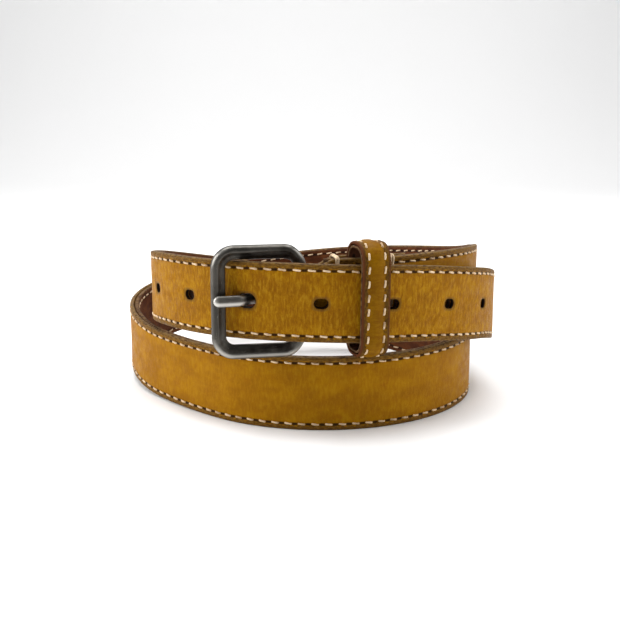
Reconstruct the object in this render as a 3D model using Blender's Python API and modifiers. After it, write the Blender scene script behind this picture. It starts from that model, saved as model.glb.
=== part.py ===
"""Leather money belt, coiled two turns and fastened through its buckle.

The strap is two layers of leather, a face and a lining. Each is cut flat, with
its holes, and then laid along the coil. A flat layer has X along the strap, Y
across it and Z through it, and the buckle's bar is at X = 0.
"""
import math

import bmesh
import bpy
import numpy as np
from mathutils import Matrix, Vector

MM = 0.001
GAP = 0.3 * MM

# Strap
STRAP_WIDTH = 30.0 * MM
LAYER = 1.95 * MM
LAYER_OFFSET = (LAYER + GAP) / 2
STRAP_FACE = LAYER_OFFSET + LAYER / 2
EDGE_BEVEL = 0.4 * MM
STATION = 9.0 * MM
TIP_LENGTH = 24.0 * MM
TIP_END_WIDTH = 5.0 * MM
TIP_STATIONS = (0.78, 0.56, 0.38, 0.24, 0.12, 0.04, 0.0)
LINING_TRIM = 0.2 * MM

# Holes: seven along the strap, the third one in use and stretched
HOLE_COUNT = 7
HOLE_PITCH = 27.8 * MM
FIRST_HOLE = 856.4 * MM
HOLE_SIZE = (5.8 * MM, 4.4 * MM)
CUT_DEPTH = 20.0 * MM
CUT_SIDES = 16
USED_HOLE = 2
USED_HOLE_SIZE = (7.0 * MM, 5.6 * MM)
USED_HOLE_SHIFT = -0.1 * MM

# The coil: degrees round it from the front, radius in mm, and height of the
# strap's lower edge in mm. Between -40 and 70 degrees it is a true arc.
COIL = [
    (-376, 73.3, 40), (-367, 72.5, 40), (-325, 67.5, 39.5), (-280, 67, 36.2), (-235, 76, 27.2),
    (-190, 90, 20), (-145, 99, 11.5), (-105, 91.7, 5.6), (-70, 73, 0.6), (-40, 66, 0),
    (70, 66, 0), (105, 64, 0), (145, 61, 3.5), (190, 62.5, 12), (235, 67.5, 23.3),
    (275, 73, 32.8), (310, 77, 38), (345, 79.5, 39.5), (380, 76.5, 37.5), (420, 75, 30.5),
    (455, 76.5, 20), (492, 83.5, 9),
]
ARC_START = -40
ARC_END = 70
ARC_RADIUS = 66.0 * MM
HEEL_ANGLE = -367
COIL_CENTRE = (5.6 * MM, -7.4 * MM)

# Buckle: a frame with its own bar, which the face leather folds round
BAR_RADIUS = 2.4 * MM
FOLD_RADIUS = BAR_RADIUS + GAP + LAYER / 2
BAR_OUT = LAYER_OFFSET - FOLD_RADIUS
FRAME_LENGTH = 31.4 * MM
FRAME_HEIGHT = 38.4 * MM
FRAME_SECTION = 2.7 * MM
FRAME_FLATNESS = 0.82
FRAME_DROP = 1.8 * MM
FRAME_TILT = math.radians(13.0)
TOE_CORNER = 7.6 * MM
HEEL_CORNER = 6.6 * MM

# Prong: a ring round the bar and a tongue, as points along and out from the bar
PRONG_DROP = 0.4 * MM
PRONG_THICKNESS = 2.6 * MM
PRONG_WIDTH = 4.4 * MM
PRONG_RING = 3.9 * MM
PRONG_RING_START = 228
PRONG_RING_THINNING = 0.8
PRONG_POINT = 2.6 * MM
PRONG_STATIONS = 44
PRONG_ROUTE = [
    (-5.0, 3.8), (-10.0, 3.1), (-14.0, 2.4), (-17.4, 2.8), (-19.2, 4.6), (-20.6, 6.8),
    (-22.2, 8.6), (-24.8, 9.7), (-27.6, 10.5), (-30.0, 11.0), (-31.9, 11.1),
]

# Fold: the face leather narrows and is slotted where it goes round the bar
FOLD_WIDTH = 23.6 * MM
FOLD_TAPER = (6.0 * MM, 13.0 * MM)
PRONG_SLOT = (6.0 * MM, 5.8 * MM)
LINING_START = 9.0 * MM
FOLD_STATIONS = 12
FLAP_LENGTH = 46.0 * MM
FLAP_STATION = 2.3 * MM
# How far the flap's middle lies inside the strap's, at points from the bar
FLAP_ROUTE = [
    (0.0, -6.225), (7.0, -5.4), (12.6, -3.9), (17.0, -6.95), (33.2, -6.95), (37.1, -4.9), (46.0, -3.5),
]

# Keeper
KEEPER_AT = 25.0 * MM
KEEPER_WIDTH = 11.2 * MM
KEEPER_HEIGHT = 44.2 * MM
KEEPER_BACK = -5.25 * MM
KEEPER_FRONT = 13.1 * MM
KEEPER_FACE = 1.3 * MM
KEEPER_LINING = 1.0 * MM
KEEPER_CORNER = 7.5 * MM
KEEPER_BEVEL = 0.25 * MM
KEEPER_DROP = 0.4 * MM
KEEPER_STITCH = 3.2 * MM

# Thread
THREAD_RADIUS = 0.25 * MM
THREAD_LIFT = GAP + THREAD_RADIUS
STITCH_MARGIN = 2.5 * MM
CROSS_STITCHES = (13.5 * MM, 34.8 * MM)
FACE_STITCH_START = 37.6 * MM
LINING_STITCH_START = 54.0 * MM

# Zip pocket in the lining, along the true arc
ZIP_ANGLES = (-34, 64)
ZIP_SLOT = 10.0 * MM
TAPE_SIZE = (2.9 * MM, 0.5 * MM)
TAPE_ACROSS = 3.25 * MM
TAPE_OUT = -1.35 * MM
TEETH_SIZE = (1.35 * MM, 1.6 * MM)
TEETH_ACROSS = 0.825 * MM
TEETH_OUT = -1.4 * MM
ZIP_END = 4.0 * MM
STOP_SIZE = (2.0 * MM, 3.4 * MM, 1.9 * MM)
STOP_ROUNDING = 0.4 * MM
ZIP_STITCH_MARGIN = 1.5 * MM
ZIP_STITCH_STATIONS = 24
ZIP_STITCH_BEND = 7
SLIDER_ANGLE = 56
SLIDER_SIZE = (9.0 * MM, 7.4 * MM, 0.9 * MM)
SLIDER_OUT = -3.05 * MM
SLIDER_ROUNDING = 0.3 * MM
LUG_SIZE = (3.0 * MM, 0.7 * MM, 2.3 * MM)
LUG_PLACE = (1.75 * MM, -1.4 * MM)
RIM_SIZE = (7.2 * MM, 0.6 * MM, 1.2 * MM)
RIM_PLACE = (3.1 * MM, 0.3 * MM)

# Pull: half its outline, as points along and across from its pivot
PULL_PIVOT_OUT = -4.7 * MM
PULL_OUTLINE = [(0.8, 1.0), (-4.0, 1.0), (-6.5, 2.4), (-20.0, 2.6), (-21.6, 1.6)]
PULL_THICKNESS = 1.0 * MM
PULL_BEVEL = 0.25 * MM
PULL_TILT = math.radians(10.0)

TAN_LEATHER = ((0.42, 0.20, 0.03), 0.45, 0.0)
LINING_LEATHER = ((0.27, 0.10, 0.04), 0.6, 0.0)
CREAM_THREAD = ((0.75, 0.62, 0.45), 0.8, 0.0)
GUNMETAL = ((0.28, 0.27, 0.26), 0.35, 1.0)
BRASS = ((0.55, 0.38, 0.14), 0.35, 1.0)
ZIP_CLOTH = ((0.20, 0.11, 0.05), 0.9, 0.0)


def clear_scene():
    """Empty the file, so that only the belt is in it."""
    for thing in list(bpy.data.objects):
        bpy.data.objects.remove(thing, do_unlink=True)


def hermite(knots, values, slopes, at):
    """Cubic pieces through values at knots, with the given slopes."""
    left = np.clip(np.searchsorted(knots, at, side="right") - 1, 0, len(knots) - 2)
    span = knots[left + 1] - knots[left]
    u = (at - knots[left]) / span
    return ((2 * u**3 - 3 * u**2 + 1) * values[left] + (u**3 - 2 * u**2 + u) * span * slopes[left]
            + (3 * u**2 - 2 * u**3) * values[left + 1] + (u**3 - u**2) * span * slopes[left + 1])


def smooth_curve(knots, values, at, level_start=False, level_end=False):
    """Cubic spline with even bending; an end is free, or level where it meets the arc."""
    knots = np.asarray(knots, float)
    values = np.asarray(values, float)
    steps = np.diff(knots)
    rises = np.diff(values) / steps
    count = len(knots)
    system = np.zeros((count, count))
    right = np.zeros(count)
    for row in range(1, count - 1):
        before = 1 / steps[row - 1]
        after = 1 / steps[row]
        system[row, row - 1:row + 2] = before, 2 * (before + after), after
        right[row] = 3 * (rises[row - 1] * before + rises[row] * after)
    system[0, :2] = (1, 0) if level_start else (2, 1)
    right[0] = 0 if level_start else 3 * rises[0]
    system[-1, -2:] = (0, 1) if level_end else (1, 2)
    right[-1] = 0 if level_end else 3 * rises[-1]
    return hermite(knots, values, np.linalg.solve(system, right), at)


def steady_curve(knots, values, at):
    """Cubic pieces that never swing past the values, and stay level where two are equal."""
    knots = np.asarray(knots, float)
    values = np.asarray(values, float)
    rises = np.diff(values) / np.diff(knots)
    slopes = np.zeros(len(knots))
    for place in range(1, len(knots) - 1):
        before, after = rises[place - 1], rises[place]
        if before * after > 0:
            slopes[place] = 2 * before * after / (before + after)
    slopes[0] = rises[0]
    slopes[-1] = rises[-1]
    return hermite(knots, values, slopes, at)


def coil_radius(angles):
    """Radius of the coil at each angle, in metres."""
    knots = np.array([row[0] for row in COIL], float)
    radii = np.array([row[1] for row in COIL], float) * MM
    first = knots <= ARC_START
    last = knots >= ARC_END
    inner = smooth_curve(knots[first], radii[first], angles, level_end=True)
    outer = smooth_curve(knots[last], radii[last], angles, level_start=True)
    return np.where(angles < ARC_START, inner, np.where(angles > ARC_END, outer, ARC_RADIUS))


# The coil's centreline, sampled finely, and the length along it from the buckle's bar
ANGLES = np.arange(COIL[0][0], COIL[-1][0] + 0.1, 0.25)
TURNS = np.radians(ANGLES)
RADII = coil_radius(ANGLES)
EDGE_HEIGHTS = steady_curve([row[0] for row in COIL], [row[2] for row in COIL], ANGLES) * MM
CENTRES = np.column_stack([
    COIL_CENTRE[0] + RADII * np.sin(TURNS),
    COIL_CENTRE[1] - RADII * np.cos(TURNS),
    EDGE_HEIGHTS + STRAP_WIDTH / 2,
])
RUN = np.concatenate([[0.0], np.cumsum(np.linalg.norm(np.diff(CENTRES, axis=0), axis=1))])
LENGTHS = RUN - np.interp(HEEL_ANGLE, ANGLES, RUN)
STRAP_LENGTH = LENGTHS[-1]


def length_at(angle):
    """Length along the strap at an angle round the coil."""
    return float(np.interp(angle, ANGLES, LENGTHS))


def coil_frames(lengths):
    """Middle of the strap, and its directions along, across and out, at each length."""
    along = np.gradient(CENTRES, axis=0)
    along /= np.linalg.norm(along, axis=1)[:, None]
    out = np.column_stack([along[:, 1], -along[:, 0], 0 * along[:, 0]])
    out /= np.linalg.norm(out, axis=1)[:, None]
    across = np.cross(out, along)
    parts = []
    for table in (CENTRES, along, across, out):
        parts.append(np.column_stack([np.interp(lengths, LENGTHS, table[:, i]) for i in range(3)]))
    return parts


def on_coil(lengths, across, out):
    """World places of points given by length along, across and out from the strap's middle."""
    lengths, across, out = np.broadcast_arrays(np.atleast_1d(lengths), across, out)
    middle, _, up, outward = coil_frames(lengths)
    return middle + up * across[:, None] + outward * out[:, None]


def coil_matrix(length, across=0.0, out=0.0):
    """Local axes on the strap: X along it, Y across it and Z out of it."""
    middle, along, up, outward = [Vector(part[0]) for part in coil_frames(np.array([length]))]
    matrix = Matrix((along, up, outward)).transposed().to_4x4()
    matrix.translation = middle + up * across + outward * out
    return matrix


def make_collection(name):
    """A new collection in the scene."""
    collection = bpy.data.collections.new(name)
    bpy.context.scene.collection.children.link(collection)
    return collection


def make_material(name, look):
    """A Principled material from a colour, a roughness and a metallic value."""
    colour, roughness, metallic = look
    material = bpy.data.materials.new(name)
    material.use_nodes = True
    shader = material.node_tree.nodes["Principled BSDF"]
    shader.inputs["Base Color"].default_value = (*colour, 1.0)
    shader.inputs["Roughness"].default_value = roughness
    shader.inputs["Metallic"].default_value = metallic
    material.diffuse_color = (*colour, 1.0)
    return material


def make_object(name, data, collection, look, matrix=Matrix()):
    """An object of its own, with a material of its own."""
    thing = bpy.data.objects.new(name, data)
    data.materials.append(make_material(name, look))
    thing.matrix_world = matrix
    collection.objects.link(thing)
    return thing


def make_mesh(name, shape):
    """A mesh from a bmesh, which is freed."""
    mesh = bpy.data.meshes.new(name)
    shape.to_mesh(mesh)
    shape.free()
    return mesh


def make_cutters(name, shape, collection):
    """A wire-drawn object that cuts holes in a flat layer."""
    thing = bpy.data.objects.new(name, make_mesh(name, shape))
    thing.hide_render = True
    thing.display_type = "WIRE"
    collection.objects.link(thing)
    return thing


def finished_mesh(thing):
    """The object's mesh with its modifiers worked out."""
    bpy.context.view_layer.update()
    graph = bpy.context.evaluated_depsgraph_get()
    return bpy.data.meshes.new_from_object(thing.evaluated_get(graph))


def smooth_shade(mesh, degrees=40):
    """Smooth shading that keeps the sharp edges."""
    mesh.shade_smooth()
    mesh.set_sharp_from_angle(angle=math.radians(degrees))


def add_oval(shape, along, across, size):
    """An upright oval cylinder, size long and wide, for cutting a hole."""
    made = bmesh.ops.create_cone(shape, cap_ends=True, segments=CUT_SIDES, radius1=0.5, radius2=0.5,
                                 depth=CUT_DEPTH)
    scale = Matrix.Diagonal((*size, 1.0, 1.0))
    bmesh.ops.transform(shape, verts=made["verts"], matrix=Matrix.Translation((along, across, 0)) @ scale)


def add_slot(shape, start, end, across, width):
    """An upright slot cutter with round ends."""
    half_side = math.pi / CUT_SIDES
    radius = width / 2 / math.cos(half_side)
    made = bmesh.ops.create_cone(shape, cap_ends=True, segments=CUT_SIDES, radius1=radius, radius2=radius,
                                 depth=CUT_DEPTH, matrix=Matrix.Rotation(half_side, 4, "Z"))
    for vert in made["verts"]:
        middle = end - width / 2 if vert.co.x > 0 else start + width / 2
        vert.co.x += middle
        vert.co.y += across


def strap_half_width(along, width):
    """Half the strap's width: narrow at the fold, full, then rounded at the tip."""
    half = width / 2
    fold_middle = -math.pi * FOLD_RADIUS / 2
    beyond = abs(along - fold_middle) + fold_middle
    narrow, full = FOLD_TAPER
    if beyond < full:
        blend = min(1.0, max(0.0, (beyond - narrow) / (full - narrow)))
        half = FOLD_WIDTH / 2 + (half - FOLD_WIDTH / 2) * blend
    to_tip = (along - (STRAP_LENGTH - TIP_LENGTH)) / TIP_LENGTH
    if to_tip > 0:
        end = TIP_END_WIDTH / 2
        half = end + (half - end) * math.sqrt(max(0.0, 1 - to_tip**2))
    return half


def strap_stations(start, end):
    """Places along the strap for its rows of points: closer in the fold and at the tip."""
    fold_start = -math.pi * FOLD_RADIUS
    places = list(np.arange(0, end - TIP_LENGTH, STATION))
    places += list(end - TIP_LENGTH * np.array(TIP_STATIONS))
    places += [STATION / 2, STATION * 3 / 2]
    places += list(np.linspace(fold_start, 0, FOLD_STATIONS)[:-1])
    places += list(np.arange(start, fold_start - FLAP_STATION / 2, FLAP_STATION))
    return sorted({round(place, 6) for place in places if start <= place <= end})


def layer_blank(name, start, end, width, collection, cutters):
    """A flat layer of leather with rounded edges, cut by the given cutters."""
    stations = strap_stations(start, end)
    shape = bmesh.new()
    bmesh.ops.create_grid(shape, x_segments=len(stations) - 1, y_segments=1, size=0.5)
    for vert in shape.verts:
        along = stations[round((vert.co.x + 0.5) * (len(stations) - 1))]
        half = strap_half_width(along, width) if start < 0 or along > FOLD_TAPER[1] else width / 2
        vert.co = (along, math.copysign(half, vert.co.y), 0)
    blank = bpy.data.objects.new(name + "_blank", make_mesh(name + "_blank", shape))
    blank.hide_render = True
    blank.display_type = "WIRE"
    collection.objects.link(blank)
    thick = blank.modifiers.new("thickness", "SOLIDIFY")
    thick.thickness = LAYER
    thick.offset = 0
    edges = blank.modifiers.new("edges", "BEVEL")
    edges.width = EDGE_BEVEL
    edges.segments = 1
    edges.limit_method = "ANGLE"
    edges.angle_limit = math.radians(60)
    for cutter in cutters:
        cut = blank.modifiers.new(cutter.name, "BOOLEAN")
        cut.operation = "DIFFERENCE"
        cut.object = cutter
    return blank


def move_points(mesh, places):
    """Put a mesh's points at new places."""
    mesh.vertices.foreach_set("co", np.asarray(places, np.float32).ravel())
    mesh.update()


def mesh_points(mesh):
    """A mesh's points as an array."""
    places = np.zeros(len(mesh.vertices) * 3, np.float32)
    mesh.vertices.foreach_get("co", places)
    return places.reshape(-1, 3).astype(float)


def fold_places(points):
    """Flat face leather laid along the coil, round the buckle's bar and back along the inside."""
    flat, across, depth = points.T
    fold_length = math.pi * FOLD_RADIUS
    length = flat.copy()
    out = LAYER_OFFSET + depth
    turning = (flat < 0) & (flat > -fold_length)
    turn = -flat[turning] / FOLD_RADIUS
    length[turning] = -(FOLD_RADIUS + depth[turning]) * np.sin(turn)
    out[turning] = BAR_OUT + (FOLD_RADIUS + depth[turning]) * np.cos(turn)
    back = flat <= -fold_length
    length[back] = -(flat[back] + fold_length)
    knots = [row[0] * MM for row in FLAP_ROUTE]
    flap = steady_curve(knots, [row[1] * MM for row in FLAP_ROUTE], np.clip(length[back], 0, knots[-1]))
    out[back] = flap - depth[back]
    return on_coil(length, across, out)


def make_strap(collection, cutter_collection):
    """The face leather and the lining, with the holes, the prong's slot and the zip's slot."""
    holes = bmesh.new()
    for number in range(HOLE_COUNT):
        used = number == USED_HOLE
        size = USED_HOLE_SIZE if used else HOLE_SIZE
        shift = USED_HOLE_SHIFT if used else 0.0
        add_oval(holes, FIRST_HOLE + number * HOLE_PITCH + shift, 0, size)
    hole_cutters = make_cutters("hole_cutters", holes, cutter_collection)
    slot = bmesh.new()
    extra, slot_width = PRONG_SLOT
    add_slot(slot, -math.pi * FOLD_RADIUS - extra, extra, -PRONG_DROP, slot_width)
    prong_slot = make_cutters("prong_slot_cutter", slot, cutter_collection)
    opening = bmesh.new()
    add_slot(opening, length_at(ZIP_ANGLES[0]), length_at(ZIP_ANGLES[1]), 0, ZIP_SLOT)
    zip_slot = make_cutters("zip_slot_cutter", opening, cutter_collection)

    start = -math.pi * FOLD_RADIUS - FLAP_LENGTH
    blank = layer_blank("face_strap", start, STRAP_LENGTH, STRAP_WIDTH, cutter_collection,
                        [hole_cutters, prong_slot])
    face = finished_mesh(blank)
    face.materials.clear()
    move_points(face, fold_places(mesh_points(face)))
    smooth_shade(face)
    make_object("face_strap", face, collection, TAN_LEATHER)

    width = STRAP_WIDTH - 2 * LINING_TRIM
    blank = layer_blank("lining", LINING_START, STRAP_LENGTH - LINING_TRIM, width, cutter_collection,
                        [hole_cutters, zip_slot])
    lining = finished_mesh(blank)
    lining.materials.clear()
    along, across, depth = mesh_points(lining).T
    move_points(lining, on_coil(along, across, depth - LAYER_OFFSET))
    smooth_shade(lining)
    make_object("lining", lining, collection, LINING_LEATHER)


def make_wire(name, places, radius, collection, look, closed=False, sides=0, matrix=Matrix(), sizes=None):
    """A round wire or thread through the places."""
    curve = bpy.data.curves.new(name, "CURVE")
    curve.dimensions = "3D"
    curve.bevel_depth = radius
    curve.bevel_resolution = sides
    curve.use_fill_caps = not closed
    line = curve.splines.new("POLY")
    line.points.add(len(places) - 1)
    for number, place in enumerate(places):
        line.points[number].co = (*place, 1.0)
        line.points[number].radius = 1.0 if sizes is None else sizes[number]
    line.use_cyclic_u = closed
    line.use_smooth = True
    return make_object(name, curve, collection, look, matrix)


def make_edge_stitches(collection):
    """The needle thread on the face and the bobbin thread on the lining, along both edges."""
    lift = STRAP_FACE + THREAD_LIFT
    rows = [("face", FACE_STITCH_START, lift), ("lining", LINING_STITCH_START, -lift)]
    across = STRAP_WIDTH / 2 - STITCH_MARGIN
    for side, start, out in rows:
        lengths = np.arange(start, STRAP_LENGTH - TIP_LENGTH, STATION)
        for edge, sign in (("upper", 1), ("lower", -1)):
            places = on_coil(lengths, sign * across, out)
            make_wire(f"{edge}_stitch_{side}", places, THREAD_RADIUS, collection, CREAM_THREAD)


def make_cross_stitches(collection):
    """A thread loop on each side of the keeper, round the strap and its flap."""
    edge = STRAP_WIDTH / 2 + THREAD_LIFT
    outer = STRAP_FACE + THREAD_LIFT
    knots = [row[0] * MM for row in FLAP_ROUTE]
    for name, length in zip(("cross_stitch_buckle_side", "cross_stitch_strap_side"), CROSS_STITCHES):
        flap = float(steady_curve(knots, [row[1] * MM for row in FLAP_ROUTE], np.array([length]))[0])
        inner = flap - LAYER / 2 - THREAD_LIFT
        corners = [(edge, outer), (edge, inner), (-edge, inner), (-edge, outer)]
        across = [corner[0] for corner in corners]
        out = [corner[1] for corner in corners]
        places = on_coil(np.full(4, length), across, out)
        make_wire(name, places, THREAD_RADIUS, collection, CREAM_THREAD, closed=True)


def make_zip_strip(name, end_gap, across, out, size, collection, look):
    """A strip of the zip that follows the arc, short of the zip's slot by a gap at each end."""
    first = length_at(ZIP_ANGLES[0]) + end_gap
    last = length_at(ZIP_ANGLES[1]) - end_gap
    count = round((last - first) / (STATION / 2))
    shape = bmesh.new()
    bmesh.ops.create_grid(shape, x_segments=count, y_segments=1, size=0.5)
    for vert in shape.verts:
        vert.co.x = first + (vert.co.x + 0.5) * (last - first)
        vert.co.y = across + vert.co.y * size[0]
    strip = bpy.data.objects.new(name + "_blank", make_mesh(name + "_blank", shape))
    collection.objects.link(strip)
    thick = strip.modifiers.new("thickness", "SOLIDIFY")
    thick.thickness = size[1]
    thick.offset = 0
    mesh = finished_mesh(strip)
    bpy.data.objects.remove(strip)
    along, side, depth = mesh_points(mesh).T
    move_points(mesh, on_coil(along, side, depth + out))
    make_object(name, mesh, collection, look)


def rounded_box(size, radius, segments=2):
    """A bmesh box with rounded edges, round its own middle."""
    shape = bmesh.new()
    made = bmesh.ops.create_cube(shape, size=1.0)
    bmesh.ops.scale(shape, vec=size, verts=made["verts"])
    bmesh.ops.bevel(shape, geom=shape.edges[:], offset=radius, segments=segments, affect="EDGES",
                    profile=0.5)
    return shape


def make_zip(collection, cutter_collection):
    """The pocket's zip: two tapes, two rows of teeth, two stops, its stitching, slider and pull."""
    for edge, sign in (("upper", 1), ("lower", -1)):
        make_zip_strip(f"zip_tape_{edge}", ZIP_SLOT / 2, sign * TAPE_ACROSS, TAPE_OUT, TAPE_SIZE,
                       collection, ZIP_CLOTH)
        make_zip_strip(f"zip_teeth_{edge}", ZIP_END, sign * TEETH_ACROSS, TEETH_OUT, TEETH_SIZE,
                       collection, BRASS)
    zip_start, zip_end = [length_at(angle) for angle in ZIP_ANGLES]
    reach = ZIP_END - GAP - STOP_SIZE[0] / 2
    for name, length in (("zip_stop_bottom", zip_start + reach), ("zip_stop_top", zip_end - reach)):
        mesh = make_mesh(name, rounded_box(STOP_SIZE, STOP_ROUNDING))
        smooth_shade(mesh)
        make_object(name, mesh, collection, BRASS, coil_matrix(length, 0, TEETH_OUT))

    half = ZIP_SLOT / 2 + ZIP_STITCH_MARGIN
    first = zip_start + ZIP_SLOT / 2
    last = zip_end - ZIP_SLOT / 2
    run = np.linspace(first, last, ZIP_STITCH_STATIONS)
    side = np.full(ZIP_STITCH_STATIONS, half)
    bend = np.linspace(-math.pi / 2, math.pi / 2, ZIP_STITCH_BEND)[1:-1]
    bulge = half * np.cos(bend)
    climb = half * np.sin(bend)
    along = np.concatenate([run, last + bulge, run[::-1], first - bulge])
    across = np.concatenate([-side, climb, side, -climb])
    places = on_coil(along, across, -STRAP_FACE - THREAD_LIFT)
    make_wire("zip_stitch", places, THREAD_RADIUS, collection, CREAM_THREAD, closed=True)
    make_slider(collection, cutter_collection)


def make_slider(collection, cutter_collection):
    """The slider's plate with its two turned edges and two lugs, and the pull between the lugs."""
    at = coil_matrix(length_at(SLIDER_ANGLE), 0, SLIDER_OUT)
    plate = make_mesh("zip_slider", rounded_box(SLIDER_SIZE, SLIDER_ROUNDING, 1))
    body = make_object("zip_slider", plate, collection, BRASS, at)
    joined = bmesh.new()
    for side in (1, -1):
        for size, (across, out) in ((LUG_SIZE, LUG_PLACE), (RIM_SIZE, RIM_PLACE)):
            made = bmesh.ops.create_cube(joined, size=1.0)
            bmesh.ops.scale(joined, vec=size, verts=made["verts"])
            bmesh.ops.translate(joined, vec=(0, side * across, out), verts=made["verts"])
    extras = make_cutters("slider_extras", joined, cutter_collection)
    extras.matrix_world = at
    union = body.modifiers.new("extras", "BOOLEAN")
    union.operation = "UNION"
    union.object = extras

    pivot = coil_matrix(length_at(SLIDER_ANGLE), 0, PULL_PIVOT_OUT)
    shape = bmesh.new()
    points = PULL_OUTLINE + [(x, -y) for x, y in reversed(PULL_OUTLINE)]
    shape.faces.new([shape.verts.new((x * MM, y * MM, 0)) for x, y in points])
    pull = make_object("zip_pull", make_mesh("zip_pull", shape), collection, BRASS,
                       pivot @ Matrix.Rotation(-PULL_TILT, 4, "Y"))
    thick = pull.modifiers.new("thickness", "SOLIDIFY")
    thick.thickness = PULL_THICKNESS
    thick.offset = 0
    edges = pull.modifiers.new("edges", "BEVEL")
    edges.width = PULL_BEVEL
    edges.segments = 1


def arc(middle, radius, start, end, count):
    """Points on an arc, by degrees anticlockwise from +X."""
    turns = np.radians(np.linspace(start, end, count))
    return [(middle[0] + radius * math.cos(t), middle[1] + radius * math.sin(t)) for t in turns]


def make_buckle(collection):
    """The frame, whose bar at the heel the strap folds round, and the prong."""
    heel = coil_matrix(0.0, 0.0, BAR_OUT)
    top = FRAME_HEIGHT / 2
    toe = -FRAME_LENGTH
    outline = arc((-HEEL_CORNER, -top + HEEL_CORNER), HEEL_CORNER, -90, 0, 7)
    outline += [(0.0, 0.0)]
    outline += arc((-HEEL_CORNER, top - HEEL_CORNER), HEEL_CORNER, 0, 90, 7)
    outline += arc((toe + TOE_CORNER, top - TOE_CORNER), TOE_CORNER, 90, 180, 8)
    outline += [(toe, 0.0)]
    outline += arc((toe + TOE_CORNER, -top + TOE_CORNER), TOE_CORNER, 180, 270, 8)
    slim = BAR_RADIUS / FRAME_SECTION
    sizes = [slim if x > -0.2 * HEEL_CORNER else 1.0 for x, _ in outline]
    matrix = heel @ Matrix.Rotation(FRAME_TILT, 4, "Y") @ Matrix.Translation((0, -FRAME_DROP, 0))
    matrix = matrix @ Matrix.Diagonal((1, 1, FRAME_FLATNESS, 1))
    places = [(x, y, 0.0) for x, y in outline]
    make_wire("buckle_frame", places, FRAME_SECTION, collection, GUNMETAL, closed=True, sides=2,
              matrix=matrix, sizes=sizes)

    ring = np.radians(np.arange(PRONG_RING_START, 4, -24.0))
    route = [(PRONG_RING * math.sin(turn), PRONG_RING * math.cos(turn)) for turn in ring]
    route += [(x * MM, z * MM) for x, z in [(0.0, PRONG_RING / MM), *PRONG_ROUTE]]
    knots = np.concatenate([[0.0], np.cumsum(np.hypot(*np.diff(np.array(route), axis=0).T))])
    steps = np.linspace(0, knots[-1], PRONG_STATIONS)
    x = smooth_curve(knots, [place[0] for place in route], steps)
    z = smooth_curve(knots, [place[1] for place in route], steps)
    sizes = np.where(steps < knots[len(ring)], PRONG_RING_THINNING, 1.0)
    sizes = np.minimum(sizes, 0.35 + (knots[-1] - steps) / PRONG_POINT)
    widen = Matrix.Diagonal((1, PRONG_WIDTH / PRONG_THICKNESS, 1, 1))
    matrix = heel @ Matrix.Translation((0, -PRONG_DROP, 0)) @ widen
    places = [(px, 0.0, pz) for px, pz in zip(x, z)]
    make_wire("buckle_prong", places, PRONG_THICKNESS / 2, collection, GUNMETAL, sides=2,
              matrix=matrix, sizes=sizes)


def keeper_outline(inset, points_per_corner=6):
    """The keeper's rounded outline, out and across from the strap's middle, inset from its outside."""
    radius = KEEPER_CORNER - inset
    back = KEEPER_BACK + KEEPER_CORNER
    front = KEEPER_FRONT - KEEPER_CORNER
    top = KEEPER_HEIGHT / 2 - KEEPER_CORNER
    outline = arc((back, top), radius, 180, 90, points_per_corner)
    outline += arc((front, top), radius, 90, 0, points_per_corner)
    outline += arc((front, -top), radius, 0, -90, points_per_corner)
    outline += arc((back, -top), radius, -90, -180, points_per_corner)
    return outline


def make_keeper_layer(name, inset, thickness, at, collection, look):
    """One leather layer of the keeper: an open band, thickened inwards."""
    outline = keeper_outline(inset)
    shape = bmesh.new()
    bmesh.ops.create_cone(shape, cap_ends=False, segments=len(outline), radius1=1, radius2=1,
                          depth=KEEPER_WIDTH)
    for vert in shape.verts:
        turn = math.atan2(vert.co.y, vert.co.x) % math.tau
        number = round(turn / math.tau * len(outline)) % len(outline)
        out, across = outline[-number]
        vert.co = (vert.co.z, across, out)
    bmesh.ops.recalc_face_normals(shape, faces=shape.faces[:])
    band = make_object(name, make_mesh(name, shape), collection, look, at)
    thick = band.modifiers.new("thickness", "SOLIDIFY")
    thick.thickness = thickness
    thick.offset = -1
    thick.use_even_offset = True
    edges = band.modifiers.new("edges", "BEVEL")
    edges.width = KEEPER_BEVEL
    edges.segments = 1
    edges.limit_method = "ANGLE"
    edges.angle_limit = math.radians(60)


def make_keeper(collection):
    """The keeper loop round both turns of the strap, two layers with two rows of stitches."""
    at = coil_matrix(KEEPER_AT, -KEEPER_DROP, 0.0)
    make_keeper_layer("keeper_face", 0.0, KEEPER_FACE, at, collection, TAN_LEATHER)
    make_keeper_layer("keeper_lining", KEEPER_FACE + GAP, KEEPER_LINING, at, collection, LINING_LEATHER)
    outline = keeper_outline(-THREAD_LIFT)[3:-3]
    for name, along in (("keeper_stitch_left", -KEEPER_STITCH), ("keeper_stitch_right", KEEPER_STITCH)):
        places = [(along, across, out) for out, across in outline]
        make_wire(name, places, THREAD_RADIUS, collection, CREAM_THREAD, matrix=at)


def main():
    clear_scene()
    belt = make_collection("money_belt")
    cutters = make_collection("cutters")
    make_strap(belt, cutters)
    make_edge_stitches(belt)
    make_cross_stitches(belt)
    make_zip(belt, cutters)
    make_buckle(belt)
    make_keeper(belt)


main()
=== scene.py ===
"""Looks of the leather money belt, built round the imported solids.

The strap, its stitches and its zip are laid along the same coil as the solids. Sizes
here are in millimetres, and a mesh is scaled to metres when it is made. A flat place on
the strap is its length from the buckle's bar, its distance across and its depth.
"""
import math

import bpy
import numpy as np
from mathutils import Matrix, Vector


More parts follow.
